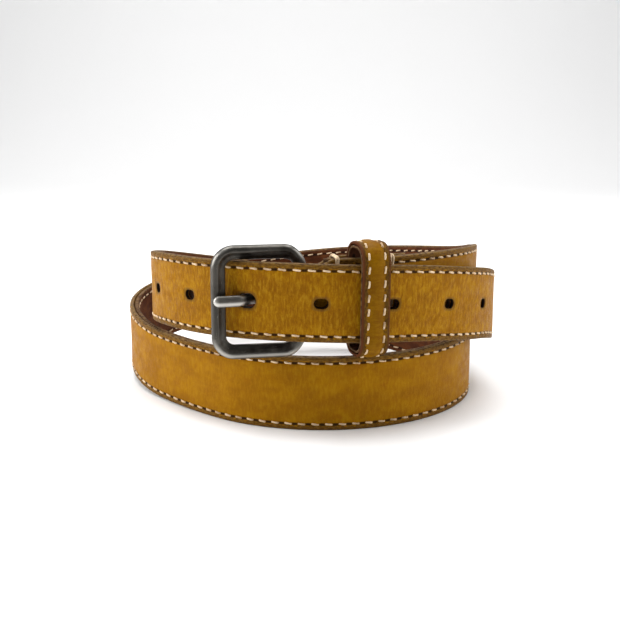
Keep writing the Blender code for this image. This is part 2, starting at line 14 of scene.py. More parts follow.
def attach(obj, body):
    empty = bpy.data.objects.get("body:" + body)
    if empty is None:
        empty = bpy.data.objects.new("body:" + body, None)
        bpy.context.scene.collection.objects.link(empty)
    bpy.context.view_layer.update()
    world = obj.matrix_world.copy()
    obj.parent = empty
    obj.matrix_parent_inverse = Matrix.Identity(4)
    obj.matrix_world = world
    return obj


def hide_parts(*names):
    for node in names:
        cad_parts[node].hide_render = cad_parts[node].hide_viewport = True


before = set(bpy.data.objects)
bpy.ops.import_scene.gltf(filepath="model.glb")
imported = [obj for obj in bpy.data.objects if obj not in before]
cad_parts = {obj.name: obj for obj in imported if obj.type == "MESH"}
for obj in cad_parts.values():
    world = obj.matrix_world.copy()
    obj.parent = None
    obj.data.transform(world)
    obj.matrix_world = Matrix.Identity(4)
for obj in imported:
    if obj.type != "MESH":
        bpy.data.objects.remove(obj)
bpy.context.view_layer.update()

MM = 0.001

# Strap
STRAP_WIDTH = 30.0
LAYER = 1.95
GAP = 0.3
LAYER_OFFSET = (LAYER + GAP) / 2
STRAP_FACE = LAYER_OFFSET + LAYER / 2
TIP_LENGTH = 24.0
TIP_END_WIDTH = 5.0
LINING_TRIM = 0.2
HOLE_COUNT = 7
HOLE_PITCH = 27.8
FIRST_HOLE = 856.4
HOLE_SIZE = (5.2, 3.7)  # a little smaller than in the solids
USED_HOLE = 2
USED_HOLE_SIZE = (7.0, 5.6)
USED_HOLE_SHIFT = -0.1

# The coil: degrees round it from the front, radius, and height of the strap's lower edge
COIL = [
    (-376, 73.3, 40), (-367, 72.5, 40), (-325, 67.5, 39.5), (-280, 67, 36.2), (-235, 76, 27.2),
    (-190, 90, 20), (-145, 99, 11.5), (-105, 91.7, 5.6), (-70, 73, 0.6), (-40, 66, 0),
    (70, 66, 0), (105, 64, 0), (145, 61, 3.5), (190, 62.5, 12), (235, 67.5, 23.3),
    (275, 73, 32.8), (310, 77, 38), (345, 79.5, 39.5), (380, 76.5, 37.5), (420, 75, 30.5),
    (455, 76.5, 20), (492, 83.5, 9),
]
ARC_START = -40
ARC_END = 70
ARC_RADIUS = 66.0
HEEL_ANGLE = -367
COIL_CENTRE = (5.6, -7.4)

# Buckle, prong and fold
BAR_RADIUS = 2.4
FOLD_RADIUS = BAR_RADIUS + GAP + LAYER / 2
BAR_OUT = LAYER_OFFSET - FOLD_RADIUS
FRAME_LENGTH = 31.4
FRAME_HEIGHT = 38.4
FRAME_DROP = 1.8
FRAME_TILT = math.radians(13.0)
TOE_CORNER = 6.0  # tighter than in the solids
HEEL_CORNER = 6.6
PRONG_DROP = 0.4
PRONG_WIDTH = 4.4
PRONG_THICKNESS = 2.6
PRONG_RING = 3.9
PRONG_TIP = 2.4
PRONG_ROUTE = [
    (-5.0, 3.8), (-10.0, 3.1), (-14.0, 2.4), (-17.4, 2.8), (-19.2, 4.6), (-20.6, 6.8),
    (-22.2, 8.6), (-24.8, 9.7), (-27.6, 10.5), (-30.0, 11.0), (-31.9, 11.1),
]
FOLD_WIDTH = 23.6
FOLD_TAPER = (6.0, 13.0)
PRONG_SLOT = (6.0, 5.8)
LINING_START = 9.0
FLAP_LENGTH = 46.0
FLAP_ROUTE = [
    (0.0, -6.225), (7.0, -5.4), (12.6, -3.9), (17.0, -6.95), (33.2, -6.95), (37.1, -4.9), (46.0, -3.5),
]

# Keeper
KEEPER_AT = 25.0
KEEPER_WIDTH = 11.2
KEEPER_HEIGHT = 44.2
KEEPER_BACK = -5.25
KEEPER_FRONT = 13.1
KEEPER_FACE = 1.3
KEEPER_LINING = 1.0
KEEPER_CORNER = 7.5
KEEPER_DROP = 0.4
KEEPER_STITCH = 3.2
KEEPER_TONE = 0.66
KEEPER_EDGE_TONE = (0.085, 0.026, 0.008)

# Stitches: pitch, how much of it shows, and the thread
STITCH_MARGIN = 2.5
STITCH_PITCH = 5.3
STITCH_SHOWN = 3.3
THREAD_RADIUS = 0.37
THREAD_SIDES = 10
FACE_STITCH_START = 37.6
LINING_STITCH_START = 54.0
STITCH_SLANT = 0.18
CROSS_STITCHES = (13.5, 34.8)
CROSS_THREAD = 0.40

# Lengths between which the face grows creased, and grows a little smoother again
WEAR_START = (770, 850)
WEAR_END = (1060, 1110)

# Zip
ZIP_ANGLES = (-34, 64)
ZIP_SLOT = 10.0
ZIP_END = 4.0
ZIP_STITCH_MARGIN = 1.5
TAPE_OUT = -1.35
TEETH_OUT = -1.4
TOOTH_PITCH = 1.9
SLIDER_ANGLE = 56
SLIDER_OUT = -3.05
PULL_PIVOT_OUT = -4.7
PULL_TILT = math.radians(10.0)
PIN_OUT = PULL_PIVOT_OUT - SLIDER_OUT
PIN_RADIUS = 0.42
EYE_RADIUS = 0.56
BARREL_RADIUS = 0.95
BARREL_WIDTH = 2.0
PIN_REACH = 1.6
PULL_WIDTH = 5.2
PULL_THICKNESS = 1.0
PULL_WINDOW = (-18.6, -10.6, 0.0, 1.6)
PULL_ROOT = -(EYE_RADIUS + BARREL_RADIUS) / 2
PULL_HALF_WIDTHS = [(-21.6, 1.5), (-21.2, 2.0), (-20.0, 2.6), (-6.5, 2.4), (-4.0, 1.1), (PULL_ROOT, 1.0)]
SLIDER_SIZE = (4.5, 3.7)
STOP_SIZE = (1.0, 1.7)
TAPE_WIDTH = 2.9
TAPE_THICKNESS = 0.5
TAPE_ACROSS = 3.25
TOOTH_THICKNESS = 1.5
TOOTH_BEVEL = 0.16
TOOTH_MARGIN = ZIP_END + 0.9

# Meshes: how closely points are set, and the lip of a hole
FINE_STRETCH = (848.0, 1040.0)
FINE_STEP = 0.8
COARSE_STEP = 1.35
STRAP_COLUMNS = 22
CUT_MARGIN = 1.3
CUT_LIP = 0.6
NOISE_TABLE = 256

# Camera, lights and floor, in metres, degrees and watts
CAMERA_PLACE = (0.00066, -0.4459, 0.1298)
CAMERA_DOWN = 12.29
CAMERA_LENS = 56.9
SENSOR_WIDTH = 36.0
LIGHT_TARGET = (0.0, 0.0, 0.04)
LIGHTS = [
    ("top_light", (0.0, 0.20, 1.1), 1.0, 19),
    ("left_light", (-0.85, -0.10, 0.35), 0.7, 8.5),
    ("right_light", (0.85, -0.10, 0.35), 0.7, 5.2),
    ("front_light", (0.0, -1.3, 0.75), 0.8, 1.2),
]
WORLD_STRENGTH = 0.12
FLOOR_FRONT = -1.6
FLOOR_BACK = 0.9
FLOOR_BEND = 0.5
FLOOR_TOP = 2.0
FLOOR_SIDE = 2.5


def hermite(knots, values, slopes, at):
    """Cubic pieces through values at knots, with the given slopes."""
    left = np.clip(np.searchsorted(knots, at, side="right") - 1, 0, len(knots) - 2)
    span = knots[left + 1] - knots[left]
    u = (at - knots[left]) / span
    return ((2 * u**3 - 3 * u**2 + 1) * values[left] + (u**3 - 2 * u**2 + u) * span * slopes[left]
            + (3 * u**2 - 2 * u**3) * values[left + 1] + (u**3 - u**2) * span * slopes[left + 1])


def smooth_curve(knots, values, at, level_start=False, level_end=False):
    """Cubic spline with even bending; an end is free, or level where it meets the arc."""
    knots = np.asarray(knots, float)
    values = np.asarray(values, float)
    steps = np.diff(knots)
    rises = np.diff(values) / steps
    count = len(knots)
    system = np.zeros((count, count))
    right = np.zeros(count)
    for row in range(1, count - 1):
        before = 1 / steps[row - 1]
        after = 1 / steps[row]
        system[row, row - 1:row + 2] = before, 2 * (before + after), after
        right[row] = 3 * (rises[row - 1] * before + rises[row] * after)
    system[0, :2] = (1, 0) if level_start else (2, 1)
    right[0] = 0 if level_start else 3 * rises[0]
    system[-1, -2:] = (0, 1) if level_end else (1, 2)
    right[-1] = 0 if level_end else 3 * rises[-1]
    return hermite(knots, values, np.linalg.solve(system, right), at)


def steady_curve(knots, values, at):
    """Cubic pieces that never swing past the values, and stay level where two are equal."""
    knots = np.asarray(knots, float)
    values = np.asarray(values, float)
    rises = np.diff(values) / np.diff(knots)
    slopes = np.zeros(len(knots))
    for place in range(1, len(knots) - 1):
        before, after = rises[place - 1], rises[place]
        if before * after > 0:
            slopes[place] = 2 * before * after / (before + after)
    slopes[0] = rises[0]
    slopes[-1] = rises[-1]
    return hermite(knots, values, slopes, at)


def run_along(places):
    """Length along the places, from the first to each of them."""
    return np.concatenate([[0.0], np.cumsum(np.linalg.norm(np.diff(places, axis=0), axis=1))])


def rows_at(at, run, table):
    """A row of the table at each place along its run."""
    return np.column_stack([np.interp(at, run, column) for column in table.T])


def unit(rows):
    """The rows, each scaled to a length of one."""
    return rows / np.linalg.norm(rows, axis=1)[:, None]


def bell(value, middle, width):
    """1 where the value is at the middle, falling away over the width."""
    return np.exp(-((value - middle) / width)**2)


def coil_radius(angles):
    """Radius of the coil at each angle."""
    knots = np.array([row[0] for row in COIL], float)
    radii = np.array([row[1] for row in COIL], float)
    first = knots <= ARC_START
    last = knots >= ARC_END
    inner = smooth_curve(knots[first], radii[first], angles, level_end=True)
    outer = smooth_curve(knots[last], radii[last], angles, level_start=True)
    return np.where(angles < ARC_START, inner, np.where(angles > ARC_END, outer, ARC_RADIUS))


# The coil's centreline, its directions, and the length along it from the buckle's bar
ANGLES = np.arange(COIL[0][0], COIL[-1][0] + 0.1, 0.25)
TURNS = np.radians(ANGLES)
RADII = coil_radius(ANGLES)
EDGE_HEIGHTS = steady_curve([row[0] for row in COIL], [row[2] for row in COIL], ANGLES)
CENTRES = np.column_stack([
    COIL_CENTRE[0] + RADII * np.sin(TURNS),
    COIL_CENTRE[1] - RADII * np.cos(TURNS),
    EDGE_HEIGHTS + STRAP_WIDTH / 2,
])
RUN = run_along(CENTRES)
LENGTHS = RUN - np.interp(HEEL_ANGLE, ANGLES, RUN)
STRAP_LENGTH = LENGTHS[-1]
ALONG = unit(np.gradient(CENTRES, axis=0))
OUTWARD = unit(np.column_stack([ALONG[:, 1], -ALONG[:, 0], 0 * ALONG[:, 0]]))
UPWARD = np.cross(OUTWARD, ALONG)


def length_at(angle):
    """Length along the strap at an angle round the coil."""
    return float(np.interp(angle, ANGLES, LENGTHS))


def along_coil(table, lengths):
    """A row of the table at each length along the strap."""
    return rows_at(lengths, LENGTHS, table)


def on_coil(places):
    """World places of points given by length along, across and out from the strap's middle."""
    lengths, across, out = places.T
    world = along_coil(CENTRES, lengths) + along_coil(UPWARD, lengths) * across[:, None]
    return world + along_coil(OUTWARD, lengths) * out[:, None]


def coil_matrix(length, across, out):
    """Local axes on the strap: X along it, Y across it and Z out of it."""
    at = np.array([length])
    axes = [Vector(along_coil(table, at)[0]) for table in (ALONG, UPWARD, OUTWARD)]
    matrix = Matrix(axes).transposed().to_4x4()
    matrix.translation = Vector(on_coil(np.array([[length, across, out]]))[0])
    return matrix


def flap_out(lengths):
    """How far the flap's middle lies inside the strap's."""
    knots = [row[0] for row in FLAP_ROUTE]
    return steady_curve(knots, [row[1] for row in FLAP_ROUTE], np.clip(lengths, 0, knots[-1]))


def folded(places):
    """World places of flat face leather, which turns round the buckle's bar and runs back inside."""
    flat, across, depth = places.T
    fold_length = math.pi * FOLD_RADIUS
    length = flat.copy()
    out = LAYER_OFFSET + depth
    turning = (flat < 0) & (flat > -fold_length)
    turn = -flat[turning] / FOLD_RADIUS
    length[turning] = -(FOLD_RADIUS + depth[turning]) * np.sin(turn)
    out[turning] = BAR_OUT + (FOLD_RADIUS + depth[turning]) * np.cos(turn)
    back = flat <= -fold_length
    length[back] = -(flat[back] + fold_length)
    out[back] = flap_out(length[back]) - depth[back]
    return on_coil(np.column_stack([length, across, out]))


def lined(places):
    """World places of flat lining leather."""
    return on_coil(places - np.array([0, 0, LAYER_OFFSET]))


def placed(matrix):
    """A function that puts local points in the world by a matrix."""
    turn = np.array(matrix.to_3x3())
    move = np.array(matrix.translation)
    return lambda points: points @ turn.T + move


def smooth_step(low, high, value):
    """From 0 at low to 1 at high, level at both ends."""
    t = np.clip((value - low) / (high - low), 0, 1)
    return t * t * (3 - 2 * t)


def smooth_noise(seed, x, y):
    """Smooth noise from -1 to 1 over a plane, with one cell to each unit."""
    table = np.random.default_rng(seed).uniform(-1, 1, (NOISE_TABLE, NOISE_TABLE))
    x, y = np.broadcast_arrays(x, y)
    column = np.floor(x).astype(int)
    row = np.floor(y).astype(int)
    u = smooth_step(0, 1, x - column)
    v = smooth_step(0, 1, y - row)
    corners = [table[(column + i) % NOISE_TABLE, (row + j) % NOISE_TABLE] for j in (0, 1) for i in (0, 1)]
    low = corners[0] * (1 - u) + corners[1] * u
    high = corners[2] * (1 - u) + corners[3] * u
    return low * (1 - v) + high * v


def half_width(lengths, width):
    """Half the strap's width: narrow at the fold, full, then rounded at the tip."""
    full = width / 2
    fold_middle = -math.pi * FOLD_RADIUS / 2
    beyond = np.abs(lengths - fold_middle) + fold_middle
    blend = np.clip((beyond - FOLD_TAPER[0]) / (FOLD_TAPER[1] - FOLD_TAPER[0]), 0, 1)
    half = FOLD_WIDTH / 2 + (full - FOLD_WIDTH / 2) * smooth_step(0, 1, blend)
    to_tip = np.clip((lengths - (STRAP_LENGTH - TIP_LENGTH)) / TIP_LENGTH, 0, 1)
    end = TIP_END_WIDTH / 2
    return np.where(to_tip > 0, end + (full - end) * np.sqrt(1 - to_tip**2), half)


# Meshes

def join_parts(parts):
    """One set of points and faces from several."""
    points = []
    faces = []
    start = 0
    for part_points, part_faces in parts:
        points.append(part_points)
        faces += [[start + corner for corner in face] for face in part_faces]
        start += len(part_points)
    return np.concatenate(points), faces


def add_object(name, data):
    """A new object in the scene."""
    thing = bpy.data.objects.new(name, data)
    bpy.context.scene.collection.objects.link(thing)
    return thing


def make_piece(name, points, faces, material, body, nodes, marks=None, smooth=True):
    """A piece of the object from points in millimetres, standing for the given solids."""
    mesh = bpy.data.meshes.new(name)
    mesh.from_pydata((np.asarray(points) * MM).tolist(), [], faces)
    for mark, values in (marks or {}).items():
        values = np.asarray(values, np.float32)
        kind, field = ("FLOAT_VECTOR", "vector") if values.ndim == 2 else ("FLOAT", "value")
        mesh.attributes.new(mark, kind, "POINT").data.foreach_set(field, values.ravel())
    mesh.materials.append(material)
    if smooth:
        mesh.shade_smooth()
    mesh.update()
    piece = add_object(name, mesh)
    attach(piece, body)
    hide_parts(*nodes)


def strip_section(width, thickness, rounding, steps, columns):
    """Across and depth of the points round a strip's section: front, upper edge, back, lower edge."""
    half = width / 2
    side = half - np.array(steps)
    middle = np.linspace(-side[-1], side[-1], columns)[1:-1]
    across = np.concatenate([-side, middle, side[::-1]])
    inset = np.clip(rounding - (half - np.abs(across)), 0, rounding)
    depth = thickness / 2 - (rounding - np.sqrt(rounding**2 - inset**2))
    loop_across = np.concatenate([across, [half], across[::-1], [-half]])
    loop_depth = np.concatenate([depth, [0], -depth[::-1], [0]])
    return loop_across, loop_depth


def grid_cells(ids, closed):
    """The four corners of each cell between rows of points, the rows closed in a ring if asked."""
    following = np.roll(ids, -1, axis=0) if closed else ids[1:]
    here = ids if closed else ids[:-1]
    return np.stack([here, following, np.roll(following, -1, axis=1), np.roll(here, -1, axis=1)], axis=2)


def turned(faces):
    """The faces, each run round the other way."""
    return [face[::-1] for face in faces]


def slot_outline(points, cut):
    """Nearest places on the outline of a round-ended slot, and the directions out from it."""
    start, end, across, width = cut
    radius = width / 2
    along = np.clip(points[:, 0], start + radius, end - radius)
    spine = np.column_stack([along, np.full(len(points), across)])
    away = unit(points - spine)
    return spine + away * radius, away


def strip(stations, section, scale, thickness, cuts=(), closed=False, round_ends=0.0):
    """Flat points and faces of a strip of leather, with slots cut through it with rounded lips."""
    loop_across, loop_depth = section
    count = len(loop_across)
    columns = (count - 2) // 2
    points = np.zeros((len(stations), count, 3))
    points[:, :, 0] = stations[:, None]
    points[:, :, 1] = loop_across * scale[:, None]
    points[:, :, 2] = loop_depth
    if round_ends:
        near = np.minimum(stations - stations[0], stations[-1] - stations)
        inset = np.clip(1 - near / round_ends, 0, 0.95)
        points[:, :, 2] *= np.sqrt(1 - inset**2)[:, None]
    ids = np.arange(points.shape[0] * count).reshape(-1, count)
    cells = grid_cells(ids, closed)
    keep = np.ones(cells.shape[:2], bool)
    extra_points = []
    extra_faces = []
    start = ids.size
    for cut in cuts:
        first, last, across, width = cut
        i0 = np.searchsorted(stations, first - CUT_MARGIN) - 1
        i1 = np.searchsorted(stations, last + CUT_MARGIN)
        j0 = np.searchsorted(loop_across[:columns], across - width / 2 - CUT_MARGIN) - 1
        j1 = np.searchsorted(loop_across[:columns], across + width / 2 + CUT_MARGIN)
        keep[i0:i1, j0:j1] = False
        keep[i0:i1, 2 * columns - j1:2 * columns - j0] = False
        border = [(i, j0) for i in range(i0, i1)] + [(i1, j) for j in range(j0, j1)]
        border += [(i, j1) for i in range(i1, i0, -1)] + [(i0, j) for j in range(j1, j0, -1)]
        ring = [ids[i, j] for i, j in border]
        flat = np.array([points[i, j, :2] for i, j in border])
        outline, away = slot_outline(flat, cut)
        face = thickness / 2
        lip = [(CUT_LIP, face), (0.25, face - 0.05), (0.07, face - 0.2), (0.0, face - 0.45),
               (0.0, 0.45 - face), (0.15, 0.05 - face), (CUT_LIP, -face)]
        between = (flat + outline + away * CUT_LIP) / 2
        lip_rings = [(outline + away * spread, level) for spread, level in lip]
        rings = [(between, face), *lip_rings, (between, -face)]
        for edge, level in rings:
            made = list(range(start, start + len(ring)))
            start += len(ring)
            extra_points.append(np.column_stack([edge, np.full(len(flat), level)]))
            extra_faces += ring_faces(ring, made)
            ring = made
        extra_faces += ring_faces(ring, [ids[i, 2 * columns - j] for i, j in border])
    faces = cells[keep].tolist() + extra_faces
    if not closed:
        for row, turn in ((ids[0], 1), (ids[-1], -1)):
            for j in range(columns - 1):
                faces.append([row[j], row[j + 1], row[2 * columns - j - 1], row[2 * columns - j]][::turn])
            faces.append([row[columns - 1], row[columns], row[columns + 1]][::turn])
            faces.append([row[0], row[2 * columns], row[2 * columns + 1]][::turn])
    places = np.concatenate([points.reshape(-1, 3), *extra_points])
    used = np.unique(np.fromiter((corner for face in faces for corner in face), int))
    place_of = np.zeros(len(places), int)
    place_of[used] = np.arange(len(used))
    return places[used], [place_of[face].tolist() for face in faces]


def ring_faces(outer, inner):
    """Faces between two rings of the same number of points."""
    count = len(outer)
    return [[outer[k], outer[(k + 1) % count], inner[(k + 1) % count], inner[k]] for k in range(count)]


def sweep(sections, closed):
    """Points and faces of a tube from its sections, one after another."""
    stations, count = sections.shape[:2]
    ids = np.arange(stations * count).reshape(stations, count)
    cells = grid_cells(ids, closed)
    faces = cells.reshape(-1, 4).tolist()
    if not closed:
        faces += [ids[0].tolist(), ids[-1][::-1].tolist()]
    return sections.reshape(-1, 3), faces


def thread_loop(path, radius):
    """A closed loop of thread along places in space, with the two-ply twist of sewing thread."""
    direction = unit(np.roll(path, -1, axis=0) - np.roll(path, 1, axis=0))
    side = np.cross(direction, [0.0, 0.0, 1.0])
    flat = np.linalg.norm(side, axis=1) < 0.2
    side[flat] = np.cross(direction[flat], [0.0, 1.0, 0.0])
    for k in range(1, len(side)):
        side[k] = side[k - 1] - direction[k] * (side[k - 1] @ direction[k])
        side[k] /= np.linalg.norm(side[k])
    side[0] /= np.linalg.norm(side[0])
    other = np.cross(direction, side)
    turns = np.linspace(0, math.tau, THREAD_SIDES, endpoint=False)
    run = run_along(path)
    size = radius * (1 + 0.13 * np.cos(2 * turns - run[:, None] * math.tau / 2.4))
    ring = side[:, None] * np.cos(turns)[:, None] + other[:, None] * np.sin(turns)[:, None]
    points, faces = sweep(path[:, None] + ring * size[:, :, None], True)
    return points, turned(faces)


def stitch_row(path, surface, radius=THREAD_RADIUS, closed=False):
    """Flat points and faces of stitches along a flat path, each diving into the leather at both ends."""
    run = run_along(path)
    count = int(run[-1] // STITCH_PITCH)
    pitch = run[-1] / count if closed else STITCH_PITCH
    u = np.linspace(-1, 1, 11)
    turns = np.linspace(0, math.tau, THREAD_SIDES, endpoint=False)
    rise = radius * (0.75 - 2.6 * np.abs(u)**5)
    parts = []
    for number in range(count):
        middle = (number + 0.5) * pitch
        at = middle + u * STITCH_SHOWN / 2
        centre = rows_at(at, run, path)
        direction = centre[-1] - centre[0]
        direction /= np.linalg.norm(direction)
        aside = np.array([direction[1], -direction[0]])
        centre += aside * (STITCH_SLANT * u)[:, None]
        size = radius * (1 + 0.12 * np.cos(2 * turns - at[:, None] * math.tau / 2.2))
        ring = np.zeros((len(u), THREAD_SIDES, 3))
        ring[:, :, :2] = centre[:, None] + aside * (size * np.cos(turns))[:, :, None]
        ring[:, :, 2] = (surface(centre[:, 0], centre[:, 1]) + rise)[:, None] + 0.85 * size * np.sin(turns)
        parts.append(sweep(ring, False))
    return join_parts(parts)


# Materials

class Look:
    """A material made of nodes, with a short call for each kind of node used here."""

    def __init__(self, name, roughness=0.5, metallic=0.0, **settings):
        self.material = bpy.data.materials.new(name)
        self.material.use_nodes = True
        self.nodes = self.material.node_tree.nodes
        self.links = self.material.node_tree.links
        self.shader = self.nodes["Principled BSDF"]
        self.shader.inputs["Roughness"].default_value = roughness
        self.shader.inputs["Metallic"].default_value = metallic
        for socket, value in settings.items():
            self.shader.inputs[socket.replace("_", " ")].default_value = value

    def node(self, kind, inputs, output=0, **settings):
        made = self.nodes.new(kind)
        for name, value in settings.items():
            setattr(made, name, value)
        for key, value in inputs.items():
            if isinstance(value, bpy.types.NodeSocket):
                self.links.new(value, made.inputs[key])
            else:
                made.inputs[key].default_value = value
        return made.outputs[output]

    def mark(self, name, output="Fac"):
        return self.node("ShaderNodeAttribute", {}, output, attribute_name=name)

    def place(self, scale):
        """The flat place in millimetres, scaled along, across and through."""
        flat = self.mark("place", "Vector")
        return self.node("ShaderNodeVectorMath", {0: flat, 1: scale}, operation="MULTIPLY")

    def noise(self, vector, scale=1.0, detail=3.0, roughness=0.55, distortion=0.0):
        return self.node("ShaderNodeTexNoise", {"Vector": vector, "Scale": scale, "Detail": detail,
                                                "Roughness": roughness, "Distortion": distortion})

    def grain(self, scale, detail=3.0, roughness=0.55, distortion=0.0):
        """Noise over the flat place."""
        return self.noise(self.place(scale), 1.0, detail, roughness, distortion)

    def flat(self, axis):
        """One coordinate of the flat place."""
        return self.node("ShaderNodeSeparateXYZ", {0: self.mark("place", "Vector")}, axis)

    def inside(self):
        """The place within the piece."""
        return self.node("ShaderNodeTexCoord", {}, "Object")

    def cells(self, vector):
        return self.node("ShaderNodeTexVoronoi", {"Vector": vector, "Scale": 1.0}, "Distance")

    def math(self, operation, first, second=0.0):
        return self.node("ShaderNodeMath", {0: first, 1: second}, operation=operation)

    def times(self, first, second):
        return self.math("MULTIPLY", first, second)

    def apart(self, first, second):
        """How far apart two values are."""
        return self.math("ABSOLUTE", self.math("SUBTRACT", first, second))

    def span(self, value, low, high, to_low=0.0, to_high=1.0):
        """The value taken smoothly from low-high to to_low-to_high, and held at both ends."""
        inputs = {"Value": value, "From Min": low, "From Max": high, "To Min": to_low, "To Max": to_high}
        return self.node("ShaderNodeMapRange", inputs, interpolation_type="SMOOTHSTEP")

    def mix(self, amount, first, second, blend="MIX"):
        colours = [(*c, 1.0) if isinstance(c, tuple) and len(c) == 3 else c for c in (first, second)]
        return self.node("ShaderNodeMix", {"Factor": amount, 6: colours[0], 7: colours[1]}, 2,
                         data_type="RGBA", blend_type=blend)

    def bump(self, height, depth, normal=None):
        inputs = {"Height": height, "Distance": depth * MM, "Strength": 1.0}
        if normal is not None:
            inputs["Normal"] = normal
        return self.node("ShaderNodeBump", inputs)

    def finish(self, colour=None, roughness=None, normal=None):
        for socket, value in (("Base Color", colour), ("Roughness", roughness), ("Normal", normal)):
            if value is not None:
                self.links.new(value, self.shader.inputs[socket])
        return self.material


def needle_hole_shade_mask(look, start):
    """Painted shade: from 0 to 1 in the needle holes between the stitches of the edge rows, where the
    materials darken the leather as the shade in the holes.
    """
    along = look.flat(0)
    turn = look.math("FRACT", look.math("DIVIDE", look.math("SUBTRACT", along, start), STITCH_PITCH))
    from_gap = look.math("SUBTRACT", 0.5, look.apart(turn, 0.5))
    gap = (STITCH_PITCH - STITCH_SHOWN) / STITCH_PITCH / 2
    hole = look.span(from_gap, gap * 1.7, gap * 0.6)
    near = look.span(look.apart(look.mark("edge"), STITCH_MARGIN), 0.8, 0.3)
    return look.times(hole, near)


def face_leather(name, keeper=False):
    """Waxed mustard leather with cross creases, a dark rubbed edge, wear round the holes, and painted shade
    that darkens the needle holes and the holes' walls.
    """
    look = Look(name, Specular_IOR_Level=0.04)
    warp = look.grain((0.05, 0.09, 0), 2.0)
    blotch = look.span(look.grain((0.07, 0.11, 0), 5.0, 0.6), 0.38, 0.64)
    colour = look.mix(blotch, (0.255, 0.104, 0.001), (0.33, 0.146, 0.001))
    stain = look.span(look.grain((0.16, 0.13, 1), 6.0, 0.65, 0.4), 0.56, 0.74)
    colour = look.mix(look.times(stain, 0.55), colour, (0.21, 0.060, 0.002))
    streak = look.grain((0.95, 0.26, 1), 7.0, 0.80, 0.5)
    dark_streak = look.span(streak, 0.56, 0.34)
    light_streak = look.span(streak, 0.48, 0.62)
    worn = look.mark("worn")
    amount = look.span(worn, 0.0, 1.0, 0.32, 0.85)
    colour = look.mix(look.times(dark_streak, amount), colour, (0.20, 0.070, 0.002))
    colour = look.mix(look.times(light_streak, look.times(amount, 0.7)), colour,
                      (0.44, 0.225, 0.012))
    speck = look.span(look.grain((0.9, 0.9, 1), 2.0, 0.5), 0.70, 0.78)
    colour = look.mix(look.times(speck, 0.4), colour, (0.13, 0.045, 0.006))
    edge = look.mark("edge")
    rag = look.grain((0.8, 0.8, 1), 4.0)
    ragged = look.math("ADD", edge, look.span(rag, 0.3, 0.7, -0.8, 0.8))
    rubbed = look.span(ragged, 2.7, 1.5)
    mottle = look.grain((0.6, 2.2, 1), 4.0, 0.65)
    band = look.mix(look.span(mottle, 0.4, 0.66), (0.060, 0.027, 0.006), (0.20, 0.105, 0.022))
    colour = look.mix(look.times(rubbed, 0.85), colour, band)
    burnt = look.span(look.math("ADD", edge, look.span(mottle, 0.3, 0.7, -0.25, 0.25)), 0.65, 0.15)
    char = look.mix(look.span(mottle, 0.35, 0.6), (0.055, 0.026, 0.010), (0.20, 0.125, 0.05))
    colour = look.mix(burnt, colour, char)
    if keeper:
        colour = look.mix(1.0, colour, (KEEPER_TONE, KEEPER_TONE, KEEPER_TONE), "MULTIPLY")
        colour = look.mix(look.span(edge, 1.5, 0.3), colour, KEEPER_EDGE_TONE)
    else:
        # Painted shade: the needle holes between the stitches made near black.
        holes = needle_hole_shade_mask(look, FACE_STITCH_START)
        colour = look.mix(look.times(holes, 0.93), colour, (0.012, 0.004, 0.002))
    colour = look.mix(look.times(look.mark("rim"), 0.75), colour, (0.075, 0.045, 0.018))
    # Painted shade: the walls of the holes made near black.
    colour = look.mix(look.mark("wall"), colour, (0.010, 0.005, 0.003))
    grain = look.cells(look.place((1.6, 1.6, 1)))
    pores = look.grain((3.0, 2.0, 1), 3.0)
    normal = look.bump(grain, 0.05)
    normal = look.bump(pores, 0.05, normal)
    normal = look.bump(look.times(streak, worn), 0.35, normal)
    normal = look.bump(warp, 0.4, normal)
    roughness = look.span(look.grain((0.3, 0.3, 1), 4.0), 0.3, 0.7, 0.40, 0.60)
    return look.finish(colour, roughness, normal)


def lining_leather(name, colour_dark=(0.060, 0.016, 0.005), colour_light=(0.130, 0.040, 0.010)):
    """Matt red-brown leather with a short nap, with painted shade that darkens the needle holes and the
    holes' walls.
    """
    look = Look(name, Specular_IOR_Level=0.12)
    blotch = look.grain((0.12, 0.2, 0), 5.0, 0.6)
    colour = look.mix(look.span(blotch, 0.35, 0.68), colour_dark, colour_light)
    nap = look.grain((2.4, 1.2, 1), 4.0, 0.7)
    colour = look.mix(look.span(nap, 0.55, 0.8), colour, tuple(1.3 * c for c in colour_light))
    edge = look.mark("edge")
    mottle = look.grain((0.7, 2.0, 1), 4.0, 0.6)
    burnt = look.span(look.math("ADD", edge, look.span(mottle, 0.3, 0.7, -0.3, 0.3)), 0.9, 0.2)
    char = look.mix(look.span(mottle, 0.4, 0.6), (0.05, 0.022, 0.010), (0.15, 0.085, 0.035))
    colour = look.mix(burnt, colour, char)
    # Painted shade: the needle holes between the stitches made near black.
    holes = needle_hole_shade_mask(look, LINING_STITCH_START)
    colour = look.mix(look.times(holes, 0.8), colour, (0.010, 0.004, 0.002))
    # Painted shade: the walls of the holes made dark.
    colour = look.mix(look.mark("wall"), colour, (0.03, 0.014, 0.008))
    normal = look.bump(nap, 0.12)
    normal = look.bump(look.cells(look.place((0.9, 0.9, 1))), 0.08, normal)
    roughness = look.span(nap, 0.3, 0.7, 0.62, 0.85)
    return look.finish(colour, roughness, normal)


def thread_look(name):
    """Waxed cream thread, soiled in patches."""
    look = Look(name, roughness=0.7, Sheen_Weight=0.2)
    where = look.inside()
    soil = look.noise(where, 260.0, 3.0)
    colour = look.mix(look.span(soil, 0.42, 0.7), (0.70, 0.52, 0.32), (0.42, 0.27, 0.14))
    fibre = look.noise(where, 5200.0, 2.0)
    colour = look.mix(look.span(fibre, 0.55, 0.8), colour, (0.80, 0.66, 0.46))
    return look.finish(colour, look.span(soil, 0.3, 0.7, 0.6, 0.85), look.bump(fibre, 0.06))


